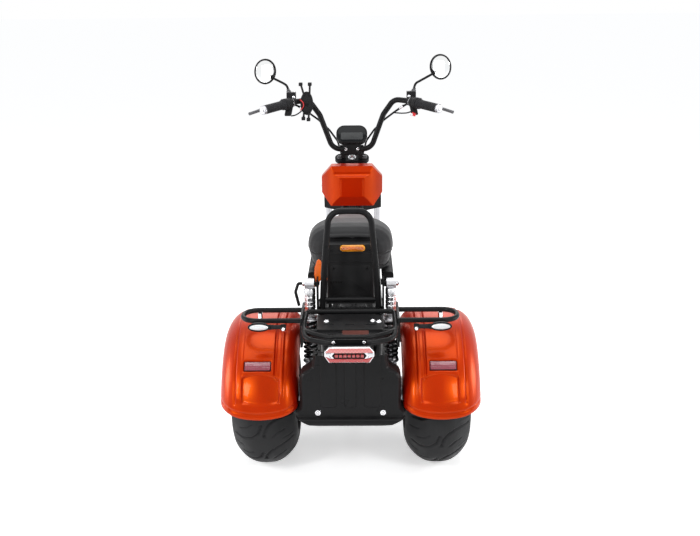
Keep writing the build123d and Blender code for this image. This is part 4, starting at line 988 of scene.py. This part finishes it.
# ---------------------------------------------------------------- display, bar clamp and phone holder
# The instrument is a glass-fronted pod on a bracket over the bar's clamp, whose four socket screws
# and centre nut are zinc plated. A sprung phone cradle is strapped to the bar on the left.
STEM_UP = (0, -0.435, 0.900)
GLASS_OUT = Vector((0, -0.88, 0.475)).normalized()
GLASS_UP = Vector((0, 0.475, 0.88)).normalized()
DISPLAY = Vector((0, 0.368, 0.965))
screen_black = finish("screen_glass", (0.005, 0.006, 0.007), 0.10, grain=0.0, mottle=0.2, edge=0)
screen_grey = finish("screen_grey", (0.045, 0.047, 0.048), 0.30, grain=0.0, mottle=0.15, edge=0)


def stadium(half_x, half_z, centre=(0, 0)):
    """Outline of a bar with half-round ends, a little squarer than a true one."""
    return rounded(half_x, half_z, half_z * 0.86, centre, 10)


body_slab = steer_slab("display_body", stadium(63, 38), DISPLAY, 26, shell, bevel=3.5, up=GLASS_UP)
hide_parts("display")
steer_slab("display_glass", stadium(57, 32.5), DISPLAY + GLASS_OUT * 0.0008, 2.0, screen_black, bevel=0.8,
           up=GLASS_UP)
steer_slab("display_screen", rounded(45, 15, 6, (0, -9)), DISPLAY + GLASS_OUT * 0.0011, 1.0, screen_grey,
           bevel=0.3, up=GLASS_UP)
steer_slab("clamp_cover", rounded(36, 25, 6), (0, 0.3695, 0.903), 6, shell, "black_frame", 2)
for i, x in enumerate((-0.0255, 0.0255)):
    steer_turned(f"clamp_screw_{i}", [(r * 0.8, h) for r, h in SCREW], (x, 0.3692, 0.902), (0, -1, 0),
                 bright, around=24)
    steer_turned(f"clamp_bolt_{i}", SCREW, (x * 1.37, 0.3692, 0.886), (0, -1, 0), shell, "black_frame", 24)
steer_turned("stem_nut", [(0.01, 12), (6, 12), (7, 10.5), (7.5, 8), (11, 8), (12, 7), (12, 0), (0.01, 0)],
             (0, 0.3985, 0.8635), STEM_UP, chrome, around=6)
steer_turned("stem_washer", [(0.01, 0), (16, 0), (16.5, 1.2), (16.5, 2.4), (0.01, 2.8)], (0, 0.4, 0.8625),
             STEM_UP, bright)
for i, side in enumerate((-1, 1)):
    steer_turned(f"plate_cap_{i}", [(0.01, 7), (8, 7), (10.5, 5.5), (11.5, 3), (11.5, 0), (0.01, 0)],
                 (side * 0.052, 0.3975, 0.8625), STEM_UP, lever_grey, "black_frame", 32)
HOLD = Vector((-0.176, 0.290, 1.099))
oval = [(25.4 * math.cos(t), 46.4 * math.sin(t)) for t in full_turn(40)]
steer_slab("cradle_plate", oval, HOLD + Vector((0, -0.0004, 0)), 8, nylon, bevel=2.4)
steer_slab("cradle_pad", [(x * 0.72, z * 0.72) for x, z in oval], HOLD + Vector((0, -0.0022, 0)), 2.2,
           rubber_black, bevel=0.9)
steer_turned("cradle_boss", [(0.01, 3.4), (6, 3.2), (8, 1.8), (8.6, 0), (0.01, -0.4)],
             HOLD + Vector((0, -0.0022, 0)), (0, -1, 0), shell, "black_plastic", 28)
for i, (x, z) in enumerate([(-0.022, 0.076), (0.014, 0.076), (-0.014, -0.058), (0.006, -0.062)]):
    steer_slab(f"claw_tip_{i}", rounded(7.4, 6.4, 2.6), HOLD + Vector((x, -0.0186, z)), 19, rubber_black,
               bevel=2.0)
dress(nylon, "phone_holder")

# ---------------------------------------------------------------- headlamp
# A round steel bowl in satin black with a plated ring; the lens is clear moulded glass.
lens_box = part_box("headlamp_lens")
middle = ((lens_box[0] + lens_box[1]) / 2)
lens_front = steer_turned("headlamp_glass", [(0.01, 12), (20, 11.6), (40, 9.6), (56, 5.6), (64, 1.2),
                                             (66, 0.2), (66, -1)], (0, lens_box[0].y, middle.z), (0, 1, 0),
                          clear_lens, "clear_lens", 64)
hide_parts("headlamp_lens")
steer_turned("headlamp_ring", [(65.5, 2), (67, 4), (70, 5), (73.5, 3.2), (74.6, 0), (74.6, -8), (72.4, -10),
                               (65.5, -9)], (0, lens_box[0].y, middle.z), (0, 1, 0), chrome, "chrome", 64)

# ---------------------------------------------------------------- cables and their crimps
# Each brake hose is rubber over braid, with swaged steel ferrules where it leaves its lever.
hose = finish("hose_rubber", (0.014, 0.014, 0.015), 0.5, grain=0.5, grain_size=900, mottle=0.3, edge=0)
dress(hose, "control_cables", "lamp_wire")
for body, side in SIDES:
    start, aim = Vector((side * 0.208, 0.322, 1.083)), Vector((side * 0.176, 0.352, 1.057))
    along = (aim - start).normalized()
    steer_turned("hose_end_" + body, [(4.2, 0), (6.6, 0), (6.8, 3), (5.4, 4), (5.4, 8), (6.2, 9), (6.2, 13),
                                      (5.0, 14), (5.0, 20), (4.2, 21)], start + along * 0.001, along,
                 bright, around=20)
    line = bent_tube("brake_line_" + body, [(side * 0.243, 0.299, 1.101), (side * 0.228, 0.310, 1.094), start,
                                            start + along * 0.012], 0.0042, 0.012, hose)
    fitted(line, "steering", "black_plastic")
short_leads = [("clutch_lead", [(-0.240, 0.300, 1.049), (-0.222, 0.296, 1.052), (-0.205, 0.300, 1.062),
                                (-0.186, 0.305, 1.078)], 0.0027, hose),
               ("red_lead", [(-0.202, 0.290, 1.114), (-0.1865, 0.2835, 1.101), (-0.190, 0.2835, 1.083),
                             (-0.203, 0.296, 1.072)], 0.0021, red_plastic),
               ("throttle_lead", [(0.240, 0.296, 1.064), (0.222, 0.306, 1.056), (0.200, 0.330, 1.052),
                                  (0.168, 0.368, 1.050)], 0.0027, hose)]
for name, points, radius, surface in short_leads:
    fitted(bent_tube(name, points, radius, 0.010, surface), "steering", "black_plastic")
